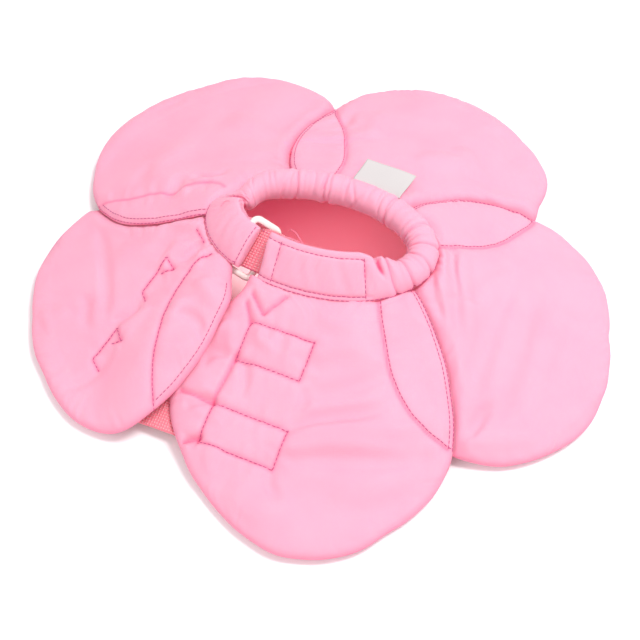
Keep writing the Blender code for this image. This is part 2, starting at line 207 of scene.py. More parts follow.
def petalCentre(row):
    angle = math.radians(row["direction"])
    reach = plan["petalReach"] * row["reach"]
    return reach * math.cos(angle), reach * math.sin(angle)


def smoothTable(table, degrees):
    # a closed table of angle and value, read with soft steps between its rows
    knots = np.array(table, float)
    knots = np.vstack([knots[-1] - (360, 0), knots, knots[0] + (360, 0)])
    return sum(np.interp(degrees + shift, knots[:, 0], knots[:, 1]) for shift in (-4, -2, 0, 2, 4)) / 5


def drawnIn(angle):
    away = (angle - plan["drawnInAt"] + math.pi) % (2 * math.pi) - math.pi
    return plan["drawnIn"] * bell(away, math.radians(15))


def rimRadius(row, angle, cut=True):
    radius = ovalRadius(angle - math.radians(row["turn"]), plan["petalHalfLength"] * row["length"],
                        plan["petalHalfWidth"] * row["width"])
    offset = (angle - math.radians(row["pinchAt"]) + math.pi) % (2 * math.pi) - math.pi
    radius = radius - plan["petalHalfWidth"] * row["pinch"] * bell(offset, pinchSpread)
    radius = radius + smoothTable(outlineFix[petalRows.index(row)], np.degrees(angle) % 360) * mm
    if not cut:
        return radius
    cx, cy = petalCentre(row)
    halfLength, halfWidth = plan["neckHalfLength"] + plan["restGap"], plan["neckHalfWidth"] + plan["restGap"]
    px, py = rotated(cx, cy, -plan["neckTurn"])
    dx, dy = rotated(np.cos(angle), np.sin(angle), -plan["neckTurn"])
    a = (dx / halfLength) ** 2 + (dy / halfWidth) ** 2
    b = px * dx / halfLength ** 2 + py * dy / halfWidth ** 2
    c = (px / halfLength) ** 2 + (py / halfWidth) ** 2 - 1.0
    root = b * b - a * c
    meets = (root > 0.0) & (b < 0.0)
    toSeam = np.where(meets, (-b - np.sqrt(np.maximum(root, 0.0))) / a, 9.0)
    # the edge goes on under the band, further where the seam is drawn in
    hx, hy = (px + toSeam * dx) / halfLength, (py + toSeam * dy) / halfWidth
    slope = np.hypot(hx / halfLength, hy / halfWidth)
    facing = -(dx * hx / halfLength + dy * hy / halfWidth) / slope
    more = (plan["seamTuck"] + drawnIn(np.arctan2(hy, hx))) / np.maximum(facing, 0.5)
    toSeam = np.where(meets, toSeam + more, 9.0)
    return np.minimum(radius, toSeam)


def fromPetal(row, x, y):
    # distance outwards from a petal's edge, less than 0 inside it
    cx, cy = petalCentre(row)
    return np.hypot(x - cx, y - cy) - rimRadius(row, np.arctan2(y - cy, x - cx))


def rimLine(row, inset=0.0, steps=240):
    angles = np.linspace(-math.pi, math.pi, steps + 1)
    cx, cy = petalCentre(row)
    radius = rimRadius(row, angles) - inset
    return np.stack([cx + radius * np.cos(angles), cy + radius * np.sin(angles)], axis=1)


def pieces(line, keep):
    # the stretches of a line whose points are kept
    found, run = [], []
    for point, good in zip(line, keep):
        if run and (not good or math.dist(point, run[-1]) > 5 * mm):
            found.append(run)
            run = []
        if good:
            run.append(point)
    if run:
        found.append(run)
    if len(found) > 1 and keep[0] and keep[-1] and math.dist(found[0][0], found[-1][-1]) < 5 * mm:
        found[0] = found.pop() + found[0]
    return [np.array(run) for run in found if len(run) > 3]


def lapLift(x, y):
    total = np.zeros_like(x)
    for upper, lower in zip(petalRows, petalRows[1:]):
        near = bell(fromPetal(upper, x, y), 8 * mm)
        total = total + near * smoothStep(-fromPetal(lower, x, y) / (10 * mm))
    return plan["lapLift"] * total


# stitching on the petals, in mm round the neck's centre, chosen on the photo
stitchPlan = {
    "edgeInset": 2.7 * mm,  # top stitch inside a lapping edge
    "frontRectangles": (  # middle, heading in degrees, length and width
        (-23.3, -66.0, 157, 35, 19.5),
        (-39.0, -106.7, 157, 40.5, 19.5),
    ),
    "leftTails": (
        ((-92.6, -30.4), (-94.6, -24.7), (-82.0, -8.9), (-77.7, -15.5)),
        ((-115.9, -64.5), (-119.3, -58.7), (-106.8, -43.9), (-104.4, -51.1)),
        ((-78.5, -16.0), (-84.0, -16.5)),
        ((-103.5, -52.5), (-108.5, -52.1)),
    ),
    "leftInner": (
        (-58, -11), (-65, -16), (-75, -30), (-80, -42), (-83, -54), (-85, -68), (-85, -79), (-84, -92),
    ),
    "leftSmall": ((-66, 5), (-62, -3)),
    "frontCreases": (
        ((-43, -66), (-48, -77), (-54, -88)),
        ((-71, -81), (-63, -85), (-54, -89)),
        ((-71, -108), (-66, -106), (-60, -106)),
        ((-38, -40), (-36, -50)),
        ((-35, -36), (-30, -46)),
        ((-29, -47), (-18, -39)),
    ),
    "pressed": {  # depth and width of each kind of pressed line; every such line also gets painted shade
        "lap": (1.8 * mm, 2.2 * mm),
        "looseLap": (0.7 * mm, 2.2 * mm),  # where the left petal's own edge isn't sewn down
        "rectangle": (1.5 * mm, 1.7 * mm),
        "crease": (3.0 * mm, 1.3 * mm),
        "inner": (1.5 * mm, 2.4 * mm),
        "tail": (1.1 * mm, 1.4 * mm),
        "small": (0.8 * mm, 1.5 * mm),
    },
}


def rectangle(middleX, middleY, heading, length, width):
    corners = []
    for along, across in ((-1, -1), (1, -1), (1, 1), (-1, 1), (-1, -1)):
        dx, dy = rotated(along * length / 2, across * width / 2, math.radians(heading))
        corners.append(((middleX + dx) * mm, (middleY + dy) * mm))
    return evenly(corners, 1.5 * mm)


def straight(points):
    return evenly([(x * mm, y * mm) for x, y in points], 1.5 * mm)


def petalLines(index):
    # (line, depth, width) of every pressed line on a petal's upper face
    row, pressed = petalRows[index], stitchPlan["pressed"]
    lines = []
    if index + 1 < len(petalRows):
        hidden = rimLine(petalRows[index + 1])
        keep = fromPetal(row, hidden[:, 0], hidden[:, 1]) < -1.0 * mm
        kind = "looseLap" if index == backLeftPetal else "lap"
        lines += [(run, *pressed[kind]) for run in pieces(hidden, keep)]
    if index == frontPetal:
        lines += [(rectangle(*sizes), *pressed["rectangle"]) for sizes in stitchPlan["frontRectangles"]]
        lines += [(mmLine(*points), *pressed["crease"]) for points in stitchPlan["frontCreases"]]
    if index == leftPetal:
        lines.append((mmLine(*stitchPlan["leftInner"]), *pressed["inner"]))
        lines += [(straight(points), *pressed["tail"]) for points in stitchPlan["leftTails"]]
        lines.append((straight(stitchPlan["leftSmall"]), *pressed["small"]))
    return lines


padding = {
    "rimRadius": 10 * mm,      # how soon the padding is full inside an edge
    "slowRadius": 46 * mm,     # the crown that it still gains towards the middle
    "crownShare": 0.30,
    "puckerPitch": 8.5 * mm,
    "puckerDepth": 0.42 * mm,
    "puckerReach": 6.0 * mm,
    "bulgeDepth": 0.8 * mm,
    "bulgeSize": 52 * mm,
    "edgeWobble": 0.18 * mm,
    "foldGain": 4.8,
    "foldSway": 1.6 * mm,
    "deepestFold": 2.4 * mm,
    "linePucker": 0.28 * mm,
    "lapPucker": 0.3 * mm,
    "underWave": 0.5 * mm,
    "neckDip": 1.2 * mm,
    "closureLift": 11 * mm,
    "closureThinning": 0.33,
    "closureDroop": 3.0 * mm,
}


def dome(distance, radius, power=0.5):
    t = np.clip(distance / radius, 0.0, 1.0)
    return (1.0 - (1.0 - t) ** 2) ** power


def crown(distance, power):
    quick = dome(distance, padding["rimRadius"], power)
    slow = dome(distance, padding["slowRadius"])
    return (1 - padding["crownShare"]) * quick + padding["crownShare"] * slow


# long soft folds of each petal: start and end in mm round the neck, height (less than 0 is a hollow)
# and width in mm
folds = (
    (((-15, -105), (35, -92), -1.0, 3), ((-15, -110), (49, -102), 0.8, 4),
     ((-21, -122), (57, -116), -0.8, 4), ((-23, -113), (36, -113), 0.6, 4),
     ((-25, -124), (-24, -140), -0.6, 3), ((-9, -86), (-13, -104), -0.7, 2.5),
     ((-41, -69), (-37, -89), -0.7, 2.5), ((-31, -55), (-26, -70), 0.5, 2.5),
     ((-15, -60), (-17, -76), 0.4, 3), ((-1, -53), (29, -60), 0.5, 5), ((-5, -63), (31, -72), 0.5, 5),
     ((-7, -89), (33, -80), -0.6, 4), ((-50, -111), (-60, -123), 0.6, 4),
     ((-71, -106), (-60, -106), -1.0, 2.2), ((-68, -87), (-53, -90), -0.8, 2.5),
     ((-60, -67), (-47, -62), -0.8, 3), ((-54, -52), (-43, -58), 0.8, 4), ((6, -135), (46, -128), 0.5, 6),
     ((-45, -132), (-21, -149), 0.5, 7)),
    (((56, -22), (62, -51), -0.9, 2.5), ((63, -11), (63, -57), 0.8, 3), ((70, -8), (69, -48), -0.6, 3),
     ((75, -9), (74, -56), 0.8, 4), ((78, -38), (100, -12), -0.7, 4), ((100, -14), (71, -90), -0.8, 5),
     ((114, -23), (79, -99), 0.9, 6), ((121, -37), (96, -100), -0.7, 6),
     ((70, -106), (88, -88), -0.8, 3.5), ((73, -110), (106, -99), 0.7, 5),
     ((135, -34), (126, -74), 0.6, 7), ((61, -58), (71, -87), -0.6, 3)),
    (((54, 59), (86, 70), 0.7, 5), ((58, 36), (94, 44), -0.7, 3.5), ((26, 82), (40, 109), 0.6, 5),
     ((79, 78), (91, 56), 0.6, 5), ((14, 95), (20, 110), -0.6, 3), ((104, 102), (116, 71), -0.6, 7)),
    (((-87, 38), (-74, 48), -1.0, 3), ((-79, 35), (-55, 45), 0.9, 3), ((-70, 46), (-51, 47), -0.7, 2.5),
     ((-101, 64), (-73, 83), 0.6, 7), ((-105, 52), (-90, 73), -0.5, 5), ((-50, 106), (-24, 78), 0.5, 8)),
    (((-123, 24), (-111, -41), -0.8, 3), ((-108, -41), (-94, -30), -0.9, 3),
     ((-104, -51), (-92, -35), 0.8, 4), ((-133, -77), (-108, -58), -0.5, 3),
     ((-128, -22), (-120, -42), -0.6, 3), ((-72, -46), (-55, -59), -0.9, 2.5),
     ((-81, -48), (-69, -39), 0.5, 4), ((-62, -5), (-75, -11), -1.0, 2.5),
     ((-61, -11), (-70, -20), 0.8, 2.5), ((-65, 3), (-88, 9), -0.7, 3), ((-86, -12), (-71, -2), 0.7, 3.5),
     ((-109, 2), (-88, 4), 0.5, 5), ((-65, -31), (-52, -42), 0.5, 4), ((-83, -68), (-64, -62), 0.5, 5),
     ((-147, -36), (-136, -26), 0.6, 6)),
)


def foldHeight(index, x, y):
    total = np.zeros_like(x)
    for (ax, ay), (bx, by), height, width in folds[index]:
        length = math.hypot(bx - ax, by - ay) * mm
        ux, uy = (bx - ax) * mm / length, (by - ay) * mm / length
        along = ((x - ax * mm) * ux + (y - ay * mm) * uy) / length
        across = (x - ax * mm) * -uy + (y - ay * mm) * ux
        across = across + padding["foldSway"] * np.sin(along * 5.0 + ax)
        ends = smoothStep((along + 0.15) / 0.4) * smoothStep((1.15 - along) / 0.6)
        total += padding["foldGain"] * height * mm * ends * bell(across, width * mm)
    return padding["deepestFold"] * np.tanh(total / padding["deepestFold"])


def petalSurfaces(index, x, y, inside=None, fine=True):
    # heights of the under and upper face, and the painted shade of the upper one, from 0 to 1: along stitched
    # lines, beside the rim and under a lapping edge
    row = petalRows[index]
    over = petalRows[index - 1] if index else None
    under = petalRows[index + 1] if index + 1 < len(petalRows) else None
    if inside is None:
        inside = np.maximum(-fromPetal(row, x, y), 0.0)
    far = np.full_like(x, 9.0)
    overGap = fromPetal(over, x, y) if over else far
    underGap = fromPetal(under, x, y) if under else far
    half = plan["petalThickness"] / 2
    gap = plan["seamGap"] / 2
    above = dome(overGap - 0.3 * mm, 8 * mm, 0.8)  # 0 under the petal that laps over this one
    below = smoothStep((underGap - 7 * mm) / (19 * mm))
    edge = middleHeight(x, y) + lapLift(x, y) + gap * (above - below)
    lifted = np.zeros_like(x)
    if index == leftPetal:
        front = fromPetal(petalRows[frontPetal], x, y)
        lifted = smoothStep((43 * mm - front) / (35 * mm)) * smoothStep(pastNeck(x, y) / (25 * mm))
        half = half * (1 - padding["closureThinning"] * lifted)
        edge = edge + lifted * (padding["closureLift"] - padding["closureDroop"] * np.exp(-inside / (5 * mm)))
    # a lapping edge is sewn flat, so it rises more softly than a free one
    crowned = crown(inside, 0.5 + 0.4 * smoothStep(-underGap / (4 * mm)))
    top = edge + half * crowned * above
    low = edge - half * dome(inside, padding["rimRadius"]) * below
    # painted shade beside the rim and under the edge of the petal that laps over this one
    pressed = 0.45 * np.exp(-inside / (1.6 * mm)) + 0.4 * (1 - above) * (overGap > 0)
    if fine:
        for number, (line, depth, width) in enumerate(petalLines(index)):
            gapTo, place = lineDistance(x, y, line)
            puckers = ripple(place, padding["puckerPitch"] * 0.9, 40 * index + number)
            fade = smoothStep(inside / (4 * mm)) * above
            top = top - depth * bell(gapTo, width, 1.25) * fade
            top = top + padding["linePucker"] * puckers * bell(gapTo - 4 * mm, 4.5 * mm) * fade
            # painted shade along each stitched line
            pressed = pressed + 0.75 * bell(gapTo, 1.0 * mm, 1.5) * fade
        cx, cy = petalCentre(row)
        angle = np.arctan2(y - cy, x - cx)
        around = angle * 70 * mm
        soft = smoothStep(inside / (2.5 * mm)) * above
        pucker = ripple(around + 5 * mm * waves(x, y, 30 * mm, index), padding["puckerPitch"], 7 + index)
        top = top + padding["puckerDepth"] * pucker * np.exp(-inside / padding["puckerReach"]) * soft
        bulge = waves(x, y, padding["bulgeSize"], 20 + index)
        top = top + padding["bulgeDepth"] * bulge * smoothStep(inside / (14 * mm)) * above
        top = top + foldHeight(index, x, y) * soft * smoothStep(inside / (9 * mm))
        wave = waves(x, y, 40 * mm, 50 + index)
        low = low + padding["underWave"] * wave * smoothStep(inside / (9 * mm)) * below
        if over:
            gapTo = np.where(overGap > 0, overGap, 9.0)
            near = bell(gapTo - 4 * mm, 4 * mm)
            top = top + padding["lapPucker"] * ripple(around, 9 * mm, 60 + index) * near
        top = top - padding["neckDip"] * np.exp(-np.maximum(pastNeck(x, y), 0.0) / (3 * mm))
    top = np.maximum(top, edge)
    low = np.clip(low, 0.0, edge)
    return low, top, np.clip(pressed, 0.0, 1.0)


# mesh helpers

def makeObject(name, vertices, faces, material, smooth=True):
    mesh = bpy.data.meshes.new(name)
    mesh.from_pydata([tuple(vertex) for vertex in vertices], [], faces)
    mesh.materials.append(material)
    if smooth:
        mesh.shade_smooth()
    obj = bpy.data.objects.new(name, mesh)
    scene.collection.objects.link(obj)
    return obj


def tubeFaces(rings, sides, closed=False):
    # the skin between rings of points that follow each other
    faces = []
    for i in range(rings if closed else rings - 1):
        for j in range(sides):
            k, after = (j + 1) % sides, (i + 1) % rings
            faces.append((i * sides + j, after * sides + j, after * sides + k, i * sides + k))
    return faces


def setAttribute(obj, name, values):
    layer = obj.data.attributes.new(name, "FLOAT", "POINT")
    layer.data.foreach_set("value", np.asarray(values, np.float32))


def inFrame(points):
    points = np.array(points, float)
    points[:, 0] += plan["neckCentre"][0]
    points[:, 1] += plan["neckCentre"][1]
    return points


# materials

def linear(hexColour):
    # sRGB hex to linear
    values = [int(hexColour[place:place + 2], 16) / 255 for place in (1, 3, 5)]
    return tuple(v / 12.92 if v <= 0.04045 else ((v + 0.055) / 1.055) ** 2.4 for v in values) + (1.0,)


def addNode(tree, kind, settings=None, inputs=None, links=None):
    node = tree.nodes.new(kind)
    for key, value in (settings or {}).items():
        setattr(node, key, value)
    for key, value in (inputs or {}).items():
        node.inputs[key].default_value = value
    for key, socket in (links or {}).items():
        tree.links.new(socket, node.inputs[key])
    return node


def startMaterial(name, inputs):
    material = bpy.data.materials.new(name)
    material.use_nodes = True
    tree = material.node_tree
    shader = tree.nodes["Principled BSDF"]
    for key, value in inputs.items():
        shader.inputs[key].default_value = value
    return material, tree, shader


def peachedPolyester(name, light, deep, weaveStrength):
    # brushed polyester plain weave: soft sheen; painted shade deepens the colour along seams, creases and
    # rims, under lapping edges and on the underside near the neck
    material, tree, shader = startMaterial(name, {
        "Roughness": 0.72,
        "Specular IOR Level": 0.3,
        "Sheen Weight": 0.25,
        "Sheen Roughness": 0.4,
        "Sheen Tint": linear("#ffe0ee"),
        "Subsurface Weight": 0.08,
        "Subsurface Radius": (1.0, 0.25, 0.45),
        "Subsurface Scale": 3 * mm,
    })
    place = addNode(tree, "ShaderNodeTexCoord").outputs["Object"]
    drift = addNode(tree, "ShaderNodeTexNoise", None, {"Scale": 38.0, "Detail": 3.0}, {"Vector": place})
    spread = addNode(tree, "ShaderNodeMapRange", None,
                     {"From Min": 0.35, "From Max": 0.7, "To Min": 0.0, "To Max": 0.1},
                     {"Value": drift.outputs["Fac"]})
    # painted shade: this attribute darkens the pink where seams, creases, gathers and rims would lie in
    # shade; the noise above is the cloth's own uneven tone
    pressed = addNode(tree, "ShaderNodeAttribute", {"attribute_name": "pressed"})
    depth = addNode(tree, "ShaderNodeMath", {"operation": "MAXIMUM"}, None,
                    {0: spread.outputs["Result"], 1: pressed.outputs["Fac"]})
    colour = addNode(tree, "ShaderNodeMix", {"data_type": "RGBA"}, {"A": linear(light), "B": linear(deep)},
                     {"Factor": depth.outputs["Value"]})
    # the real thread pitch is 0.25 mm, drawn at 0.7 mm so that it shows
    pitch = {"Scale": 2 * math.pi / (0.7 * mm) / 20, "Distortion": 0.3}
    warp, weft = (addNode(tree, "ShaderNodeTexWave", {"bands_direction": way}, pitch, {"Vector": place})
                  for way in "XY")
    weave = addNode(tree, "ShaderNodeMath", {"operation": "MULTIPLY"}, None,
                    {0: warp.outputs["Fac"], 1: weft.outputs["Fac"]})
    crush = addNode(tree, "ShaderNodeTexNoise", None, {"Scale": 160.0, "Detail": 4.0, "Roughness": 0.6},
                    {"Vector": place})
    fineBump = addNode(tree, "ShaderNodeBump", None, {"Strength": weaveStrength, "Distance": 0.15 * mm},
                       {"Height": weave.outputs["Value"]})
    softBump = addNode(tree, "ShaderNodeBump", None, {"Strength": 0.28, "Distance": 0.5 * mm},
                       {"Height": crush.outputs["Fac"], "Normal": fineBump.outputs["Normal"]})
    tree.links.new(colour.outputs["Result"], shader.inputs["Base Color"])
    tree.links.new(softBump.outputs["Normal"], shader.inputs["Normal"])
    # thin cloth lets some light through, deeper pink than it shines back
    through = addNode(tree, "ShaderNodeBsdfTranslucent", None, {"Color": linear("#ff5c8e")})
    mixed = addNode(tree, "ShaderNodeMixShader", None, {"Fac": 0.16},
                    {1: shader.outputs["BSDF"], 2: through.outputs["BSDF"]})
    tree.links.new(mixed.outputs["Shader"], tree.nodes["Material Output"].inputs["Surface"])
    return material


def hookTape(name, base, knot):
    # woven nylon hook tape: rows of small stiff loops on a coarse ground
    material, tree, shader = startMaterial(name, {"Roughness": 0.6})
    place = addNode(tree, "ShaderNodeUVMap", {"uv_map": "tape"})
    dots = addNode(tree, "ShaderNodeTexVoronoi", {"feature": "F1"}, {"Scale": 1.0, "Randomness": 0.15},
                   {"Vector": place.outputs["UV"]})
    ramp = addNode(tree, "ShaderNodeMapRange", None,
                   {"From Min": 0.15, "From Max": 0.5, "To Min": 1.0, "To Max": 0.0},
                   {"Value": dots.outputs["Distance"]})
    colour = addNode(tree, "ShaderNodeMix", {"data_type": "RGBA"}, {"A": linear(base), "B": linear(knot)},
                     {"Factor": ramp.outputs["Result"]})
    bump = addNode(tree, "ShaderNodeBump", None, {"Strength": 0.9, "Distance": 0.5 * mm},
                   {"Height": ramp.outputs["Result"]})
    tree.links.new(colour.outputs["Result"], shader.inputs["Base Color"])
    tree.links.new(bump.outputs["Normal"], shader.inputs["Normal"])
    return material


def mouldedAcetal(name, colour):
    # injection moulded acetal: ivory, satin, faintly waxy
    material, tree, shader = startMaterial(name, {
        "Base Color": linear(colour),
        "Roughness": 0.34,
        "Subsurface Weight": 0.2,
        "Subsurface Radius": (1.0, 0.8, 0.7),
        "Subsurface Scale": 2 * mm,
    })
    place = addNode(tree, "ShaderNodeTexCoord")
    grain = addNode(tree, "ShaderNodeTexNoise", None, {"Scale": 900.0, "Detail": 2.0},
                    {"Vector": place.outputs["Object"]})
    bump = addNode(tree, "ShaderNodeBump", None, {"Strength": 0.15, "Distance": 0.1 * mm},
                   {"Height": grain.outputs["Fac"]})
    tree.links.new(bump.outputs["Normal"], shader.inputs["Normal"])
    return material


def satinRibbon(name, colour):
    # satin label ribbon: long floats across give a faint ribbed gloss
    material, tree, shader = startMaterial(name, {
        "Base Color": linear(colour),
        "Roughness": 0.42,
        "Anisotropic": 0.3,
    })
    place = addNode(tree, "ShaderNodeUVMap", {"uv_map": "tape"})
    ribs = addNode(tree, "ShaderNodeTexWave", {"bands_direction": "Y"}, {"Scale": 0.35, "Distortion": 0.4},
                   {"Vector": place.outputs["UV"]})
    bump = addNode(tree, "ShaderNodeBump", None, {"Strength": 0.2, "Distance": 0.1 * mm},
                   {"Height": ribs.outputs["Fac"]})
    tree.links.new(bump.outputs["Normal"], shader.inputs["Normal"])
    return material


def spunThread(name, colour):
    # spun polyester sewing thread, matt with a little sheen
    material, tree, shader = startMaterial(name, {
        "Base Color": linear(colour),
        "Roughness": 0.6,
        "Sheen Weight": 0.2,
    })
    place = addNode(tree, "ShaderNodeTexCoord")
    twist = addNode(tree, "ShaderNodeTexNoise", None, {"Scale": 2500.0}, {"Vector": place.outputs["Object"]})
    bump = addNode(tree, "ShaderNodeBump", None, {"Strength": 0.3, "Distance": 0.05 * mm},
                   {"Height": twist.outputs["Fac"]})
    tree.links.new(bump.outputs["Normal"], shader.inputs["Normal"])
    return material


cloth = peachedPolyester("pink brushed polyester", "#ffb4cd", "#ff6a9c", 0.25)
thread = spunThread("rose sewing thread", "#c4457f")
looseThread = spunThread("pale pink sewing thread", "#f58fae")
tape = hookTape("coral hook tape", "#ff8496", "#ffaeb8")
loopTape = hookTape("pink loop tape", "#f58fb4", "#ffb4cf")
plastic = mouldedAcetal("ivory moulded acetal", "#f6ebe6")
satin = satinRibbon("white satin ribbon", "#cac4c4")
print("materials made")


# petals

def discGrid(count):
    # a square grid rounded to a disc: share of the way out and angle of its points
    line = np.linspace(-1, 1, count + 1)
    u, v = np.meshgrid(line, line, indexing="ij")
    x, y = u * np.sqrt(1 - v * v / 2), v * np.sqrt(1 - u * u / 2)
    share = np.minimum(np.hypot(x, y), 1.0)
    share[0, :] = share[-1, :] = share[:, 0] = share[:, -1] = 1.0
    return (0.55 * share + 0.45 * np.sin(share * math.pi / 2)).ravel(), np.arctan2(y, x).ravel()


def discFaces(count):
    size = count + 1
    total = size * size
    rim = {i * size + j for i in range(size) for j in range(size) if i in (0, count) or j in (0, count)}
    low, order = {}, []
    for vertex in range(total):
        if vertex in rim:
            low[vertex] = vertex
        else:
            low[vertex] = total + len(order)
            order.append(vertex)
    faces = []
    for i in range(count):
        for j in range(count):
            a, b, c, d = i * size + j, (i + 1) * size + j, (i + 1) * size + j + 1, i * size + j + 1
            faces.append((a, b, c, d))
            faces.append((low[d], low[c], low[b], low[a]))
    return faces, order


petalMesh = {
    "cells": 132,        # along each side of the disc's grid
    "roughCells": 44,    # for the simulation
    "frames": 20,
    "cloth": {
        "quality": 6,
        "mass": 0.15,
        "tension_stiffness": 12,
        "compression_stiffness": 12,
        "shear_stiffness": 4,
        "bending_stiffness": 0.15,
        "air_damping": 2,
        "shrink_min": -0.045,  # more cloth than the outline needs, which the padding pushes into folds
        "use_pressure": True,
        "uniform_pressure_force": 3.5,
    },
    "mostMoved": 4 * mm,
    "settled": 0.6,      # share of the movement that is kept
    # painted shade on the underside round the neck
    "underPaintedShade": 0.85,
}


def petalPoints(index, cells, fine):
    row = petalRows[index]
    share, angle = discGrid(cells)
    cx, cy = petalCentre(row)
    radius = rimRadius(row, angle)
    # rays beside the corner at the neck change their length slowly, except close to the rim
    eased = radius
    for degrees in range(-24, 25, 2):
        eased = np.minimum(eased, rimRadius(row, angle + math.radians(degrees)) + 1.6 * mm * abs(degrees))
    wobble = padding["edgeWobble"] * ripple(angle * 70 * mm, 24 * mm, 90 + index)
    toSeam = rimRadius(row, angle, cut=False) - radius
    radius = radius + wobble * share ** 6 * (toSeam < 1e-6)
    reach = share * (eased + (radius - eased) * share ** 6)
    x = cx + reach * np.cos(angle)
    y = cy + reach * np.sin(angle)
    # along its ray beside the rim, and to the nearest place of the outline further in
    inside = radius - reach
    nearest = lineDistance(x, y, rimLine(row))[0]
    inside = inside + smoothStep((inside - 3 * mm) / (9 * mm)) * (nearest - inside)
    low, top, pressed = petalSurfaces(index, x, y, inside, fine)
    top = np.where(share > 0.9999, (low + top) / 2, top)
    return np.stack([x, y, top], axis=1), np.stack([x, y, low], axis=1), pressed, share


def sewnDown(index, x, y):
    # 1 where the upper face is held by a seam
    held = np.zeros_like(x)
    for line, _, _ in petalLines(index):
        held = np.maximum(held, lineDistance(x, y, line)[0] < 2.2 * mm)
    if index:
        held = np.maximum(held, fromPetal(petalRows[index - 1], x, y) < 1.5 * mm)
    return held


def simulatePadding():
    # how the upper faces move when the padding pushes loose cloth out between the seams
    cells = petalMesh["roughCells"]
    made = []
    for index in range(len(petalRows)):
        upper, lower, _, share = petalPoints(index, cells, False)
        faces, order = discFaces(cells)
        held = np.maximum(share > 0.985, sewnDown(index, upper[:, 0], upper[:, 1]))
        obj = makeObject("rough" + str(index), np.concatenate([upper, lower[order]]), faces, cloth)
        group = obj.vertex_groups.new(name="sewn")
        group.add([int(v) for v in np.nonzero(held)[0]], 1.0, "REPLACE")
        group.add(list(range(len(upper), len(upper) + len(order))), 1.0, "REPLACE")
        run = obj.modifiers.new("padding", "CLOTH")
        for key, value in petalMesh["cloth"].items():
            setattr(run.settings, key, value)
        run.settings.vertex_group_mass = "sewn"
        run.settings.effector_weights.gravity = 0.0
        run.collision_settings.use_collision = False
        run.point_cache.frame_start = 1
        run.point_cache.frame_end = petalMesh["frames"]
        made.append((obj, upper))
    for frameNumber in range(1, petalMesh["frames"] + 1):
        scene.frame_set(frameNumber)
    graph = bpy.context.evaluated_depsgraph_get()
    moves = []
    for obj, upper in made:
        mesh = obj.evaluated_get(graph).to_mesh()
        points = np.empty(len(mesh.vertices) * 3)
        mesh.vertices.foreach_get("co", points)
        moved = points.reshape(-1, 3)[:len(upper)] - upper
        reach = np.linalg.norm(moved, axis=1, keepdims=True)
        moved = moved * np.minimum(1.0, petalMesh["mostMoved"] / np.maximum(reach, 1e-9))
        moves.append(petalMesh["settled"] * softened(moved, cells))
        print("simulated", obj.name, "moved at most", round(float(reach.max()) * 1000, 1), "mm")
    for obj, _ in made:
        bpy.data.objects.remove(obj)
    scene.frame_set(1)
    return moves


def softened(values, cells):
    # the movement with its sharpest creases eased
    grid = values.reshape(cells + 1, cells + 1, 3)
    for _ in range(2):
        for axis in (0, 1):
            inner = (np.roll(grid, 1, axis) + 2 * grid + np.roll(grid, -1, axis)) / 4
            grid = np.where(np.abs(grid).max(axis=2, keepdims=True) > 0, inner, grid)
    # and none at the corners of the square that was rounded to the disc
    line = np.abs(np.linspace(-1, 1, cells + 1))
    grid = grid * smoothStep((0.75 - np.outer(line, line)) / 0.45)[..., None]
    return grid.reshape(-1, 3)


def finer(values, rough, fine):
    # a smooth curve through the rough grid's values, read at the fine grid's places
    places = np.linspace(0, rough, fine + 1)
    first = np.minimum(places.astype(int), rough - 1)
    t = places - first
    weights = np.zeros((fine + 1, rough + 1))
    for offset, weight in ((-1, -t / 2 + t ** 2 - t ** 3 / 2), (0, 1 - 2.5 * t ** 2 + 1.5 * t ** 3),
                           (1, t / 2 + 2 * t ** 2 - 1.5 * t ** 3), (2, -t ** 2 / 2 + t ** 3 / 2)):
        np.add.at(weights, (np.arange(fine + 1), np.clip(first + offset, 0, rough)), weight)
    grid = values.reshape(rough + 1, rough + 1, 3)
    return np.einsum("ai,bj,ijk->abk", weights, weights, grid).reshape(-1, 3)


def makePetal(index, moved):
    row = petalRows[index]
    upper, lower, pressed, _ = petalPoints(index, petalMesh["cells"], True)
    if moved is not None:
        # the neck edge stays under the band
        free = smoothStep(pastNeck(upper[:, 0], upper[:, 1]) / (26 * mm))
        upper = upper + finer(moved, petalMesh["roughCells"], petalMesh["cells"]) * free[:, None]
    faces, order = discFaces(petalMesh["cells"])
    obj = makeObject(row["name"] + "_padded", inFrame(np.concatenate([upper, lower[order]])), faces, cloth)
    # painted shade: the underside round the neck, which lies deep in the collar, is painted the hotter pink
    # of cloth in shade
    out = pastNeck(lower[order, 0], lower[order, 1])
    hidden = petalMesh["underPaintedShade"] * bell(np.maximum(out, 0.0), 38 * mm)
    setAttribute(obj, "pressed", np.concatenate([pressed * 0.85, hidden]))
    return obj


moves = simulatePadding()
petals = [makePetal(index, moved) for index, moved in enumerate(moves)]
print("petals made:", [len(obj.data.polygons) for obj in petals])


# neck band: a gathered roll that flattens into a stitched strap in front and a tab on the left

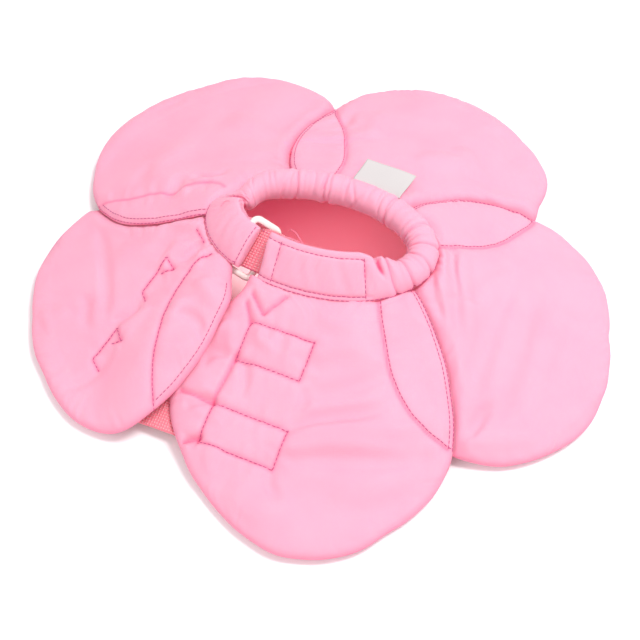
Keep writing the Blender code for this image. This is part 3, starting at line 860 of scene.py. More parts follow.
bandRows = np.array([  # oval angle in degrees, width and thickness in mm, tilt in degrees
    (-112, 26.0, 6.0, 41), (-62, 26.0, 6.5, 47), (-47, 21.8, 11.2, 42), (-30, 16.4, 15.2, 35),
    (0, 16.1, 16.0, 30), (60, 16.1, 16.0, 30), (120, 16.1, 16.0, 30), (142, 15.4, 14.6, 33),
    (157, 14.6, 11.5, 36), (172, 22.4, 9.0, 38), (186, 25.5, 7.4, 40), (233, 24.4, 7.2, 40),
])
band = {
    "start": math.radians(-112),
    "end": math.radians(236),
    "frontSlant": 3.2 * mm,   # how much further the front strap's end reaches at the opening's edge
    "squareness": 3.2,
    "stations": 560,
    "sides": 112,
    "gatherStart": math.radians(-50),
    "gatherPitch": 5.2 * mm,
    "gatherDepth": 0.95 * mm,
    "gatherRidge": 0.25 * mm,
    "gatherSway": 0.5 * mm,
    "strongCreases": (112, 96.5, 93.5, 57, 31, 8, -12, -30, -42),  # oval angles, in degrees
    "creaseDepth": 1.25 * mm,
    "creaseWidth": 0.75 * mm,
    "creaseRidge": 0.35 * mm,
    "creaseSway": 0.9 * mm,
    "creaseLean": 1.2 * mm,
    "cornerPinch": math.radians(-49.5),
    "pinchDepth": 3.0 * mm,
    "pinchWidth": 1.3 * mm,
    "topLine": 0.79,      # shares of half the width
    "lowerLine": -0.80,
    "lineDepth": 0.85 * mm,
    "lineWidth": 1.1 * mm,
    "rectangleStart": 8 * mm,
    "rectangleEnd": 59 * mm,
    "tabEndLine": 2.4 * mm,
    "slackHeight": 0.24 * mm,
    "tabPuff": 1.3 * mm,
    "knotAt": math.radians(164),
    "knotHeight": 0.8 * mm,
    "rollEnd": math.radians(166),
    "rollEndDepth": 2.4 * mm,
    "tabStart": math.radians(168),
    "tabFlatAt": math.radians(172),
}

arcAngles = np.linspace(math.radians(-150), math.radians(250), 4001)
arcSpeed = np.hypot(plan["neckHalfLength"] * np.sin(arcAngles), plan["neckHalfWidth"] * np.cos(arcAngles))
arcLengths = np.concatenate([[0.0], np.cumsum((arcSpeed[1:] + arcSpeed[:-1]) / 2 * np.diff(arcAngles))])


def arcAt(angle):
    return np.interp(angle, arcAngles, arcLengths)


def bandRun(angle):
    # distance along the seam from the band's start
    return float(arcAt(angle) - arcAt(band["start"]))


def angleAt(length):
    return np.interp(length, arcLengths, arcAngles)


def bandSection(angle):
    degrees = np.degrees(angle)
    place = np.clip(np.searchsorted(bandRows[:, 0], degrees) - 1, 0, len(bandRows) - 2)
    low, high = bandRows[place], bandRows[place + 1]
    share = smoothStep((degrees - low[..., 0]) / (high[..., 0] - low[..., 0]))[..., None]
    width, thickness, tilt = np.moveaxis((low + share * (high - low))[..., 1:], -1, 0)
    return width * mm, thickness * mm, np.radians(tilt)


def ovalPoint(angle):
    # a point of the neck's seam and the way outwards from it
    halfLength, halfWidth, turn = plan["neckHalfLength"], plan["neckHalfWidth"], plan["neckTurn"]
    x, y = rotated(halfLength * np.cos(angle), halfWidth * np.sin(angle), turn)
    nx, ny = rotated(np.cos(angle) / halfLength, np.sin(angle) / halfWidth, turn)
    long = np.hypot(nx, ny)
    flat = np.zeros_like(x)
    return np.stack([x, y, flat], -1), np.stack([nx / long, ny / long, flat], -1)


def bandFrame(angle):
    width, thickness, tilt = (value[..., None] for value in bandSection(angle))
    seam, out = ovalPoint(angle)
    up = np.array((0.0, 0.0, 1.0))
    rise = up * np.sin(tilt) - out * np.cos(tilt)
    normal = out * np.sin(tilt) + up * np.cos(tilt)
    inset = thickness / 8 * np.cos(tilt) ** 2 + drawnIn(angle)[..., None]
    middle = seam - out * inset + up * (plan["neckHeight"] + thickness / 10) + rise * width / 2
    return middle, rise, normal


def bandShape(angle):
    # width, thickness, how flat the section is, and the power that makes it so
    width, thickness, _ = bandSection(angle)
    flatness = smoothStep((width / thickness - 1) / 2)
    return width, thickness, flatness, 2 / (2 + (band["squareness"] - 2) * flatness)


def bandSkin(angle, turn, raised=0.0):
    # a point of the band's skin, turn 0 at the opening's edge and a quarter turn on the outer face
    width, thickness, _, power = bandShape(angle)
    _, rise, normal = bandFrame(angle)
    across, through = signedPower(np.cos(turn), power), signedPower(np.sin(turn), power)
    run = arcAt(angle)
    fromStart = run - arcAt(band["start"])
    slant = band["frontSlant"] * smoothStep(0.5 + 0.5 * across) * np.exp(-fromStart / (9 * mm))
    middle = bandFrame(angleAt(run - slant))[0]
    toEnd = np.minimum(fromStart, arcAt(band["end"]) - run)
    thin = 0.30 + 0.70 * dome(toEnd, 3.2 * mm)
    narrow = 0.955 + 0.045 * dome(toEnd, 3.0 * mm)
    push = raised + bandRelief(angle, turn)
    a = across * narrow * width / 2 + np.cos(turn) * push
    b = through * thin * thickness / 2 + np.sin(turn) * push
    return middle + rise * a[..., None] + normal * b[..., None]


gatherRng = np.random.default_rng(11)
gathers = []
gatherPlace = float(arcAt(band["gatherStart"]))
while gatherPlace < float(arcAt(band["rollEnd"])):
    # place, depth, size, lean, middle and spread round the roll, and phase
    gathers.append((gatherPlace, gatherRng.uniform(0.35, 1.2), gatherRng.uniform(0.7, 1.25) * mm,
                    gatherRng.normal(0, 1.5) * mm, gatherRng.uniform(-0.5, 1.4), gatherRng.uniform(0.7, 1.5),
                    gatherRng.uniform(0, 6.28)))
    gatherPlace += band["gatherPitch"] * gatherRng.uniform(0.55, 1.45)


def lineGroove(distance):
    # how deep a stitched line's groove is across it, from 0 to 1
    return bell(distance, band["lineWidth"], 1.4)


def bandRelief(angle, turn):
    width, _, flatness, power = bandShape(angle)
    across, through = signedPower(np.cos(turn), power), signedPower(np.sin(turn), power)
    roundness = 1 - flatness
    run = arcAt(angle)
    push = np.zeros_like(turn)
    turn = (turn + math.pi / 2) % (2 * math.pi) - math.pi / 2
    for place, depth, size, lean, centre, spread, phase in gathers:
        away = run - place - lean * (turn - centre) - band["gatherSway"] * np.sin(2 * turn + phase)
        near = np.abs(away) < 5 * size
        window = bell(turn - centre, spread)
        push = push - near * band["gatherDepth"] * depth * window * bell(away, size)
        push = push + near * band["gatherRidge"] * window * bell(away - 2.4 * size, 1.6 * size)
    for degrees in band["strongCreases"]:
        away = run - arcAt(math.radians(degrees)) - band["creaseSway"] * np.sin(turn * 1.5 + degrees)
        away = away - band["creaseLean"] * (turn - 0.8) * math.sin(degrees)
        crease = bell(away, band["creaseWidth"], 1.3)
        push = push - band["creaseDepth"] * crease * smoothStep((2.9 - np.abs(turn - 0.9)) / 1.2)
        push = push + band["creaseRidge"] * bell(np.abs(away) - 3.0 * mm, 2.0 * mm)
    push = push * smoothStep(roundness * 1.8)
    outside = smoothStep(through * 3)
    v = across * width / 2
    start = arcAt(band["start"])
    fromStart = run - start
    # the corner pinch: deep at the opening's edge, fading towards the seam
    away = fromStart - (arcAt(band["cornerPinch"]) - start)
    pinch = bell(away + 0.3 * (v - width / 2), band["pinchWidth"], 1.4)
    pinch = pinch * smoothStep((v + 2 * mm) / (8 * mm)) * smoothStep((np.sin(turn) + 0.6) / 0.8)
    push = push - band["pinchDepth"] * pinch
    flat = smoothStep((band["rectangleEnd"] + 6 * mm - fromStart) / (6 * mm))
    tab = smoothStep((run - arcAt(band["tabFlatAt"])) / (8 * mm))
    # stitched lines press grooves into the outer face
    top, low = band["topLine"] * width / 2, band["lowerLine"] * width / 2
    groove = lineGroove(v - top) * flat + lineGroove(v - low) * flat
    between = smoothStep((v - low) / (1 * mm)) * smoothStep((top - v) / (1 * mm))
    for stop in (band["rectangleStart"], band["rectangleEnd"]):
        groove = groove + lineGroove(fromStart - stop) * between
    toTabEnd = arcAt(band["end"]) - run
    groove = groove + lineGroove(toTabEnd - band["tabEndLine"]) * tab
    push = push - band["lineDepth"] * groove * outside
    slack = ripple(run + 2 * mm * np.sin(v / (5 * mm)), 11 * mm, 5) + 0.6 * ripple(run - v * 0.4, 5.5 * mm, 6)
    slack = slack * (1 - smoothStep(roundness * 1.5)) * bell(v, 0.40 * width, 4)
    push = push + band["slackHeight"] * slack * outside
    puff = bell(toTabEnd - 16 * mm, 13 * mm) * bell(v - 1 * mm, 9 * mm)
    push = push + band["tabPuff"] * puff * tab * outside
    # the roll's end is drawn in where the tab begins
    drawn = bell(run - arcAt(band["rollEnd"]), 5.5 * mm)
    push = push - band["rollEndDepth"] * drawn * smoothStep((across + 0.4) / 0.9)
    knots = ripple(run + v, 3.2 * mm, 8) * bell(run - arcAt(band["knotAt"]), 7 * mm)
    return push + band["knotHeight"] * knots * outside


def makeBand():
    runs = np.linspace(arcAt(band["start"]), arcAt(band["end"]), band["stations"])
    turns = np.linspace(0, 2 * math.pi, band["sides"], endpoint=False)
    angle, turn = np.meshgrid(angleAt(runs), turns, indexing="ij")
    points = bandSkin(angle, turn)
    count, sides = band["stations"], band["sides"]
    # the band runs the other way round than a tube, so its faces are turned over
    faces = [(a, d, c, b) for a, b, c, d in tubeFaces(count, sides)]
    vertices = list(points.reshape(-1, 3))
    for row, backwards in ((0, False), (count - 1, True)):
        # rings that close the end towards its middle
        centre = points[row].mean(axis=0)
        last = list(range(row * sides, (row + 1) * sides))
        for share in (0.75, 0.45, 0.2):
            ring = [len(vertices) + j for j in range(sides)]
            vertices += list(centre + (points[row] - centre) * share)
            for j in range(sides):
                k = (j + 1) % sides
                face = (last[j], ring[j], ring[k], last[k])
                faces.append(face[::-1] if backwards else face)
            last = ring
        vertices.append(centre)
        for j in range(sides):
            face = (last[j], len(vertices) - 1, last[(j + 1) % sides])
            faces.append(face[::-1] if backwards else face)
    obj = makeObject("neck_band_padded", inFrame(vertices), faces, cloth)
    values = np.zeros(len(vertices))
    # painted shade in the band's gathers, creases and stitched grooves, on its inner and outer faces
    flatTurn = np.abs(np.sin(turn)) > 0.2
    deep = np.clip(-(bandRelief(angle, turn) + 0.5 * mm) / (1.6 * mm), 0, 0.8)
    values[:count * sides] = (deep * flatTurn).ravel()
    setAttribute(obj, "pressed", values)
    return obj


neckBand = makeBand()
print("neck band made:", len(neckBand.data.polygons))


# the closure: hook tape from inside the front band, through the ring, under the tab

closure = {
    "ringWire": 3.4 * mm,
    "ringWindow": 27.2 * mm,
    "ringSpan": 15.0 * mm,
    "ringCorner": 3.0 * mm,
    "ringInset": 5.0 * mm,
    "tapeWidth": 24.0 * mm,
    "tapeThickness": 1.4 * mm,
    "tapeStart": math.radians(-80),
    "tapePastTab": 14.0 * mm,
    "tapeDrop": 4.8 * mm,   # below the band's middle: half the tab, the gap and half the tape
    "tapePeek": 0.115,      # the selvedge shows this share of half its width above the front strap's end
    "peekReach": math.radians(11),
    "hookPitch": 1.5 * mm,
}
tabEnd = math.radians(233 - 360)


def unit(vectors):
    return vectors / np.linalg.norm(vectors, axis=-1, keepdims=True)


def closureFrame(angle):
    closing = smoothStep((band["start"] - angle) / (band["start"] - tabEnd))[..., None]
    front = bandFrame(np.maximum(angle, band["start"]))
    tab = bandFrame(np.minimum(angle, tabEnd) + 2 * math.pi)
    middle, rise, normal = (a + (b - a) * closing for a, b in zip(front, tab))
    return middle, unit(rise), unit(normal)


def tapePoint(angle, across, lift=0.0):
    middle, rise, normal = closureFrame(angle)
    offset = (np.asarray(across) * closure["tapeWidth"] / 2)[..., None]
    return middle + rise * offset + normal * (np.asarray(lift) - closure["tapeDrop"])[..., None]


def stepAlong(start, length):
    angle = start
    for _ in range(8):
        across, along = plan["neckHalfLength"] * math.sin(angle), plan["neckHalfWidth"] * math.cos(angle)
        angle += length / 8 / math.hypot(across, along)
    return angle


def ringFrame():
    held, along, _ = closureFrame(np.array(stepAlong(tabEnd, -closure["ringInset"])))
    drop = closure["tapeDrop"] + closure["tapeThickness"] / 2 + plan["restGap"] + closure["ringWire"] / 2
    ahead = math.sqrt(closure["ringSpan"] ** 2 - drop ** 2) - closure["ringInset"]
    free, _, normal = closureFrame(np.array(stepAlong(tabEnd, ahead)))
    across = free - normal * drop - held
    across = unit(across - along * across.dot(along))
    return held, across, along


def makeRing():
    # a moulded bar ring: soft corners, a flat on the outer faces and a fine mould line
    held, across, along = ringFrame()
    halfSpan, halfLength = closure["ringSpan"] / 2, (closure["ringWindow"] + closure["ringWire"]) / 2
    corner = closure["ringCorner"]
    path = []
    for number, (right, up) in enumerate(((1, 1), (-1, 1), (-1, -1), (1, -1))):
        for turn in np.linspace(math.pi / 2 * number, math.pi / 2 * (number + 1), 13):
            path.append((right * (halfSpan - corner) + corner * math.cos(turn),
                         up * (halfLength - corner) + corner * math.sin(turn)))
    path.append(path[0])
    path = evenly(path, 0.45 * mm)[:-1]
    count, sides = len(path), 32
    ahead = unit(np.roll(path, -1, axis=0) - np.roll(path, 1, axis=0))
    facing = np.cross(across, along)
    turns = np.linspace(0, 2 * math.pi, sides, endpoint=False)
    radius = closure["ringWire"] / 2
    sx, sy = signedPower(np.cos(turns), 0.8) * radius, signedPower(np.sin(turns), 0.8) * radius
    sx = sx - 0.06 * mm * np.exp(-((turns - math.pi) * 6) ** 2)
    vertices = []
    for i in range(count):
        outward = np.array((ahead[i][1], -ahead[i][0]))
        for j in range(sides):
            flat = path[i] + outward * sx[j]
            vertices.append(held + across * (halfSpan + flat[0]) + along * flat[1] + facing * sy[j])
    faces = tubeFaces(count, sides, closed=True)
    return makeObject("strap_ring_moulded", inFrame(vertices), faces, plastic)


def makeSlab(name, top, low, flat, material):
    # two sheets of points with closed sides; flat gives each point's place on the sheet, for the weave
    rows, size = top.shape[0] - 1, top.shape[1]
    half = (rows + 1) * size
    faces = []
    for i in range(rows):
        for j in range(size - 1):
            face = (i * size + j, (i + 1) * size + j, (i + 1) * size + j + 1, i * size + j + 1)
            faces.append(face)
            faces.append(tuple(half + v for v in reversed(face)))
    loop = [i * size for i in range(rows + 1)] + [rows * size + j for j in range(1, size)]
    loop += [i * size + size - 1 for i in range(rows - 1, -1, -1)] + list(range(size - 2, 0, -1))
    for one, two in zip(loop, loop[1:] + loop[:1]):
        faces.append((two, one, half + one, half + two))
    vertices = np.concatenate([top.reshape(-1, 3), low.reshape(-1, 3)])
    obj = makeObject(name, inFrame(vertices), faces, material)
    layer = obj.data.uv_layers.new(name="tape")
    flat = np.concatenate([flat.reshape(-1, 2)] * 2)
    corners = np.empty(len(obj.data.loops), int)
    obj.data.loops.foreach_get("vertex_index", corners)
    layer.data.foreach_set("uv", flat[corners].astype(np.float32).ravel())
    return obj


def makeTape(name, place, length, width, material, cells=1.0 * mm):
    # rounded selvedges; place gives points for along and across from -1 to 1 and a lift
    steps = (np.linspace(-1, 1, int(size / cells) + 1) for size in (length, width))
    a, b = np.meshgrid(*steps, indexing="ij")
    edge = np.minimum((1 - np.abs(b)) * width / 2, (1 - np.abs(a)) * length / 2)
    body = closure["tapeThickness"] / 2 * (0.55 + 0.45 * dome(edge, 1.0 * mm))
    body = body - 0.12 * mm * bell(edge - 1.8 * mm, 0.5 * mm)
    flat = np.stack([a * length / 2, b * width / 2], -1) / closure["hookPitch"]
    return makeSlab(name, place(a, b, body), place(a, b, -body), flat, material)


tapeEnd = stepAlong(tabEnd, -closure["tapePastTab"])
tapeLength = float(abs(arcAt(closure["tapeStart"]) - arcAt(tapeEnd)))


def neckTapePlace(along, across, lift):
    angle = closure["tapeStart"] + (tapeEnd - closure["tapeStart"]) * (along + 1) / 2
    peek = closure["tapePeek"] * bell(angle - band["start"], closure["peekReach"])
    return tapePoint(angle, across + peek, lift)


neckTape = makeTape("neck_hook_tape", neckTapePlace, tapeLength, closure["tapeWidth"], tape, 0.8 * mm)
ring = makeRing()
print("closure made")


# strips under the petals: coral hook tape under the front one, loop tape under the left one

strips = {
    "width": 20 * mm,
    "gap": 1.0 * mm,
    "rows": (  # name, petal, middle in shares of the petal, heading in degrees, length
        ("petal_hook_strip_upper", frontPetal, (-0.302, -0.582), 157, 80 * mm),
        ("petal_hook_strip_lower", frontPetal, (0.217, -0.742), 157, 80 * mm),
        ("petal_loop_patch_upper", leftPetal, (-0.34, 0.21), -39, 40 * mm),
        ("petal_loop_patch_lower", leftPetal, (0.0, 0.66), -39, 40 * mm),
    ),
}


def stripMiddle(petal, shares):
    row = petalRows[petal]
    cx, cy = petalCentre(row)
    dx, dy = rotated(shares[0] * plan["petalHalfLength"], shares[1] * plan["petalHalfWidth"],
                     math.radians(row["direction"]))
    return cx + dx, cy + dy


def makeStrip(name, petal, shares, heading, length, material):
    mx, my = stripMiddle(petal, shares)

    def place(along, across, lift):
        dx, dy = rotated(along * length / 2, across * strips["width"] / 2, math.radians(heading))
        low = petalSurfaces(petal, mx + dx, my + dy, fine=False)[0]
        height = low - strips["gap"] - closure["tapeThickness"] / 2 + lift
        return np.stack([mx + dx, my + dy, height], -1)

    return makeTape(name + "_tape", place, length, strips["width"], material)


underStrips = [makeStrip(*row, loopTape if row[1] == leftPetal else tape) for row in strips["rows"]]
print("strips made")


# the bare satin tab, sewn into the neck seam and lying on the back right petal

label = {
    "corners": ((42.2, 23.8), (16.2, 34.4), (25.8, 54.2), (52.7, 44.4)),  # root pair, then far pair
    "flat": (28 * mm, 22 * mm),
    "thickness": 0.35 * mm,
    "lie": 1.5 * mm,
    "curl": 3.2 * mm,
    "wave": 0.5 * mm,
    "cells": 30,
}


def makeLabel():
    count = label["cells"]
    steps = np.linspace(0, 1, count + 1)
    along, across = np.meshgrid(steps, steps, indexing="ij")
    rootRight, rootLeft, farLeft, farRight = (np.array(corner) * mm for corner in label["corners"])
    flat = ((1 - along)[..., None] * ((1 - across)[..., None] * rootRight + across[..., None] * rootLeft)
            + along[..., None] * ((1 - across)[..., None] * farRight + across[..., None] * farLeft))
    x, y = flat[..., 0], flat[..., 1]
    lie = petalSurfaces(backRightPetal, x, y, fine=False)[1]
    height = lie + label["lie"] + label["curl"] * along ** 2.2 * (0.55 + 0.45 * across)
    height = height + label["wave"] * np.sin(across * math.pi * 1.4 + 0.6) * along
    half = label["thickness"] / 2
    top, low = (np.stack([x, y, height + step], -1) for step in (half, -half))
    flat = np.stack([across, along], -1) * label["flat"] / mm
    return makeSlab("side_label_satin", top, low, flat, satin)


labelPiece = makeLabel()
print("label made")


# stitching: one Geometry Nodes tree lays stitches along curves

stitch = {
    "pitch": 2.5 * mm,
    "length": 2.2 * mm,
    "thickness": 0.46 * mm,
    "lift": 0.111 * mm,  # of its middle over the cloth
    "spacing": 1.2 * mm,  # between the points that guide a line
}


def stitchTree():
    tree = bpy.data.node_groups.new("stitchRun", "GeometryNodeTree")
    sockets = {}
    tree.interface.new_socket("Geometry", in_out="INPUT", socket_type="NodeSocketGeometry")
    for name, kind, value in (
        ("Pitch", "Float", stitch["pitch"]),
        ("Length", "Float", stitch["length"]),
        ("Thickness", "Float", stitch["thickness"]),
        ("Tilt", "Float", 0.0),
        ("Seed", "Int", 3),
        ("Material", "Material", None),
    ):
        socket = tree.interface.new_socket(name, in_out="INPUT", socket_type="NodeSocket" + kind)
        if value is not None:
            socket.default_value = value
        sockets[name] = socket.identifier
    tree.interface.new_socket("Geometry", in_out="OUTPUT", socket_type="NodeSocketGeometry")
    given = addNode(tree, "NodeGroupInput")
    result = addNode(tree, "NodeGroupOutput")
    curve = addNode(tree, "GeometryNodeMeshToCurve", None, None, {"Mesh": given.outputs["Geometry"]})
    points = addNode(tree, "GeometryNodeCurveToPoints", {"mode": "LENGTH"}, None,
                     {"Curve": curve.outputs["Curve"], "Length": given.outputs["Pitch"]})
    bead = addNode(tree, "GeometryNodeMeshUVSphere", None, {"Segments": 8, "Rings": 6, "Radius": 0.5})
    thick = given.outputs["Thickness"]
    scale = addNode(tree, "ShaderNodeCombineXYZ", None, None,
                    {"X": thick, "Y": thick, "Z": given.outputs["Length"]})
    low = addNode(tree, "ShaderNodeMath", {"operation": "MULTIPLY"}, {1: -1.0}, {0: given.outputs["Tilt"]})
    turn = addNode(tree, "FunctionNodeRandomValue", {"data_type": "FLOAT_VECTOR"}, None,
                   {"Min": low.outputs["Value"], "Max": given.outputs["Tilt"], "Seed": given.outputs["Seed"]})
    turned = addNode(tree, "FunctionNodeRotateRotation", {"rotation_space": "LOCAL"}, None,
                     {"Rotation": points.outputs["Rotation"], "Rotate By": turn.outputs["Value"]})
    placed = addNode(tree, "GeometryNodeInstanceOnPoints", None, None,
                     {"Points": points.outputs["Points"], "Instance": bead.outputs["Mesh"],
                      "Rotation": turned.outputs["Rotation"], "Scale": scale.outputs["Vector"]})
    real = addNode(tree, "GeometryNodeRealizeInstances", None, None,
                   {"Geometry": placed.outputs["Instances"]})
    dyed = addNode(tree, "GeometryNodeSetMaterial", None, None,
                   {"Geometry": real.outputs["Geometry"], "Material": given.outputs["Material"]})
    tree.links.new(dyed.outputs["Geometry"], result.inputs["Geometry"])
    return tree, sockets


stitchGroup, stitchSockets = stitchTree()


def sewn(name, lines, material, **values):
    # lines of points to one plain mesh of stitches
    vertices, edges = [], []
    for line in lines:
        edges += [(len(vertices) + i, len(vertices) + i + 1) for i in range(len(line) - 1)]
        vertices += [tuple(point) for point in line]
    mesh = bpy.data.meshes.new(name)
    mesh.from_pydata(vertices, edges, [])
    guide = bpy.data.objects.new(name + "_guide", mesh)
    scene.collection.objects.link(guide)
    run = guide.modifiers.new("stitches", "NODES")
    run.node_group = stitchGroup
    run[stitchSockets["Material"]] = material
    for key, value in values.items():
        run[stitchSockets[key]] = value
    bpy.context.view_layer.update()
    done = bpy.data.meshes.new_from_object(guide.evaluated_get(bpy.context.evaluated_depsgraph_get()))
    done.name = name
    done.shade_smooth()
    obj = bpy.data.objects.new(name, done)
    scene.collection.objects.link(obj)
    bpy.data.objects.remove(guide)
    return obj


def dropOnto(obj, line):
    # a flat line, in metres round the neck's centre, laid on a piece from above
    tree = BVHTree.FromPolygons([vertex.co for vertex in obj.data.vertices],
                                [tuple(face.vertices) for face in obj.data.polygons])
    laid = []
    for x, y in line:
        above = Vector((x + plan["neckCentre"][0], y + plan["neckCentre"][1], 0.3))
        hit, normal, _, _ = tree.ray_cast(above, Vector((0, 0, -1)))
        if hit is not None:
            laid.append(hit + normal * stitch["lift"])
    return laid


def petalStitching():
    lines = []
    for index, row in enumerate(petalRows):
        if index + 1 < len(petalRows):
            under = petalRows[index + 1]
            # through the lower petal's edge, and twice along the upper one's
            for line, host, least in (
                (rimLine(under, 1.2 * mm), row, 1.5 * mm),
                (rimLine(row, stitchPlan["edgeInset"]), under, 1.0 * mm),
                (rimLine(row, 0.6 * mm), under, 0.0),
            ):
                # the left petal's own edge lies loose
                if host is row and index == backLeftPetal:
                    continue
                x, y = line[:, 0], line[:, 1]
                keep = (fromPetal(host, x, y) < -least) & (pastNeck(x, y) > 1.0 * mm)
                lines += [(index, evenly(run, stitch["spacing"])) for run in pieces(line, keep)]
    lines += [(frontPetal, rectangle(*sizes)) for sizes in stitchPlan["frontRectangles"]]
    lines += [(leftPetal, straight(points)) for points in stitchPlan["leftTails"]]
    lines.append((leftPetal, mmLine(*stitchPlan["leftInner"])))
    lines.append((leftPetal, straight(stitchPlan["leftSmall"])))
    free = rimLine(petalRows[leftPetal], inset=stitchPlan["edgeInset"])
    for run in pieces(free, fromPetal(petalRows[frontPetal], free[:, 0], free[:, 1]) < 6 * mm):
        lines.append((leftPetal, run))
    return [dropOnto(petals[index], line) for index, line in lines]


def bandLine(runs, shares):
    # a line on the band's outer face: distances from its start and shares of half its width
    angle = angleAt(np.asarray(runs, float) + arcAt(band["start"]))
    power = bandShape(angle)[3]
    shares = np.asarray(shares, float) * np.ones_like(angle)
    turn = np.arccos(np.clip(signedPower(shares, 1 / power), -1, 1))
    return bandSkin(angle, turn, raised=stitch["lift"])


def bandStitching():
    first, last = band["rectangleStart"], band["rectangleEnd"]
    top, low = band["topLine"], band["lowerLine"]
    whole = bandRun(band["end"])
    front = np.arange(1.5 * mm, last, stitch["spacing"])
    seam = np.arange(1.5 * mm, whole * 0.40, stitch["spacing"])
    lines = [bandLine(front, top), bandLine(seam, -0.93), bandLine(front, low)]
    across = np.linspace(low, top, 20)
    lines += [bandLine(np.full(20, first), across), bandLine(np.full(20, last), across)]
    tabStart = bandRun(band["tabStart"])
    end = whole - band["tabEndLine"]
    lines.append(bandLine(np.full(20, end), np.linspace(-0.9, 0.92, 20)))
    lines.append(bandLine(np.arange(tabStart, end, stitch["spacing"]), -0.86))
    tack = np.linspace(0, 1, 40)
    lines.append(bandLine(tabStart - 1.5 * mm + 2.2 * mm * np.sin(tack * 30), 0.2 + 0.7 * tack))
    return [inFrame(line) for line in lines]


def tapeStitching():
    lines = []
    for across in (-0.88, 0.88):
        angles = np.linspace(closure["tapeStart"], tapeEnd, 90)
        lines.append(inFrame(tapePoint(angles, np.full(90, across), closure["tapeThickness"] / 2)))
    return lines


stitching = sewn("top_stitching", petalStitching() + bandStitching(), thread)
print("stitching made:", len(stitching.data.polygons))
tapeSeams = sewn("tape_stitching", tapeStitching(), thread,
                 Pitch=2.2 * mm, Length=1.6 * mm, Thickness=0.4 * mm)


# frayed cloth along the tab's raw edge, and loose ends of thread

def frayLines():
    whole = bandRun(band["end"])
    runs = np.arange(bandRun(band["tabStart"]), whole - 9 * mm, 0.8 * mm)
    return [inFrame(bandLine(runs, 0.985)), inFrame(bandLine(runs, 0.999))]


def threadEnd(points, radius=0.16 * mm, sides=8):
    points = smoothLine(np.array(points) * mm, 0.4 * mm)
    ahead = unit(np.gradient(points, axis=0))
    side = unit(np.cross(ahead, (0.3, 0.2, 0.93)))
    over = np.cross(side, ahead)
    vertices = []
    turns = np.linspace(0, 2 * math.pi, sides, endpoint=False)
    for point, one, two in zip(points, side, over):
        vertices += [point + (one * math.cos(a) + two * math.sin(a)) * radius for a in turns]
    faces = tubeFaces(len(points), sides)
    faces.append(tuple(range(sides)))
    faces.append(tuple(reversed(range(len(vertices) - sides, len(vertices)))))
    return vertices, faces


fray = sewn("tab_fray", frayLines(), cloth, Pitch=0.6 * mm, Length=2.8 * mm, Thickness=0.22 * mm, Tilt=1.1)


# three loose ends lie over the front strap's end and the opening; points in mm round the neck's centre
looseEnds = (
    ((-16.5, -4, 50), (-15.5, -6.4, 54), (-12.9, -11.7, 58), (-11, -15, 57.6), (-9.0, -18.5, 56.5)),
    ((-27, -6, 50), (-24, -9, 53.5), (-20, -12.0, 55.5), (-15.5, -14.5, 57.2), (-10.8, -17.2, 57.2)),
    ((-53, 12, 50.5), (-50.5, 13.5, 53), (-48, 12.2, 54), (-47, 9, 52.5)),
)


def makeThreads():
    vertices, faces = [], []
    for points in looseEnds:
        some, shape = threadEnd(points)
        faces += [tuple(len(vertices) + v for v in face) for face in shape]
        vertices += some
    return makeObject("loose_threads", inFrame(vertices), faces, looseThread)


looseThreads = makeThreads()
print("fray made:", len(fray.data.polygons))


# what each piece rides on and stands for

def finishPiece(obj, slot, *nodes):
    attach(obj, "root")
    if nodes:
        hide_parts(*nodes)


for obj, row in zip(petals, petalRows):
    finishPiece(obj, "pink_cloth", row["name"])
finishPiece(neckBand, "pink_cloth", "neck_band")
finishPiece(ring, "ivory_plastic", "strap_ring")
finishPiece(neckTape, "coral_hook_tape", "neck_hook_strip")
for obj, row in zip(underStrips, strips["rows"]):
    finishPiece(obj, "pink_loop_tape" if row[1] == leftPetal else "coral_hook_tape", row[0])
finishPiece(labelPiece, "white_satin", "side_label")
for obj in (stitching, tapeSeams, fray, looseThreads):
    finishPiece(obj, "pink_cloth")

# the room: the photo's view, a white floor and soft light

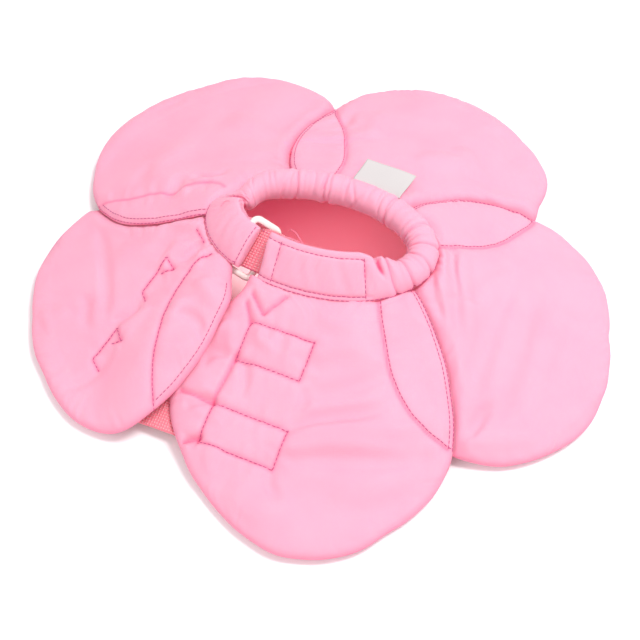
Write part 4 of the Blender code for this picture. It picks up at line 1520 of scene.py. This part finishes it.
room = {
    "elevation": math.radians(56),
    "distance": 0.650,
    "lens": 67.1,
    "sensor": 36.0,
    "aim": (1.22 * mm, -18.23 * mm, 0.0),
    "floorDrop": 0.3 * mm,
    "floorColour": "#fbf8f9",
    "worldStrength": 0.72,
    "lamps": (  # name, place, size and power
        ("key light", (0.45, 0.05, 1.05), 0.40, 8.8),
        ("fill light", (-0.7, -0.9, 0.9), 1.2, 3.96),
    ),
    "glowAt": (0.004, 0.028, 0.030),  # from the neck's centre, and its height
    "glowSize": 0.11,
    "glowPower": 0.019,
    "glowColour": "#ff1058",
}


def makeLamp(name, place, size, power):
    light = bpy.data.lights.new(name, "AREA")
    light.shape = "DISK"
    light.size = size
    light.energy = power
    lamp = bpy.data.objects.new(name, light)
    lamp.location = place
    scene.collection.objects.link(lamp)
    return lamp


def makeRoom():
    bpy.ops.mesh.primitive_plane_add(size=6.0, location=(0.0, 0.0, -room["floorDrop"]))
    floor = bpy.context.object
    floor.name = "floor"
    material = startMaterial("white paper", {
        "Base Color": linear(room["floorColour"]),
        "Roughness": 0.9,
        "Specular IOR Level": 0.1,
    })[0]
    floor.data.materials.append(material)
    world = bpy.data.worlds.new("studio")
    world.use_nodes = True
    sky = world.node_tree.nodes["Background"].inputs
    sky["Color"].default_value = linear("#ffffff")
    sky["Strength"].default_value = room["worldStrength"]
    scene.world = world
    for name, place, size, power in room["lamps"]:
        lamp = makeLamp(name, place, size, power)
        lamp.rotation_euler = (-Vector(place)).to_track_quat("-Z", "Y").to_euler()
    # light that has come through the padding falls on the floor in the opening
    under = inFrame([room["glowAt"]])[0]
    glow = makeLamp("light through the padding", under, room["glowSize"], room["glowPower"])
    glow.data.color = linear(room["glowColour"])[:3]
    back = Vector((0.0, -math.cos(room["elevation"]), math.sin(room["elevation"])))
    lens = bpy.data.cameras.new("photo view")
    lens.lens = room["lens"]
    lens.sensor_width = room["sensor"]
    camera = bpy.data.objects.new("photo view", lens)
    camera.location = Vector(room["aim"]) + back * room["distance"]
    camera.rotation_euler = (math.pi / 2 - room["elevation"], 0.0, 0.0)
    scene.collection.objects.link(camera)
    scene.camera = camera


makeRoom()
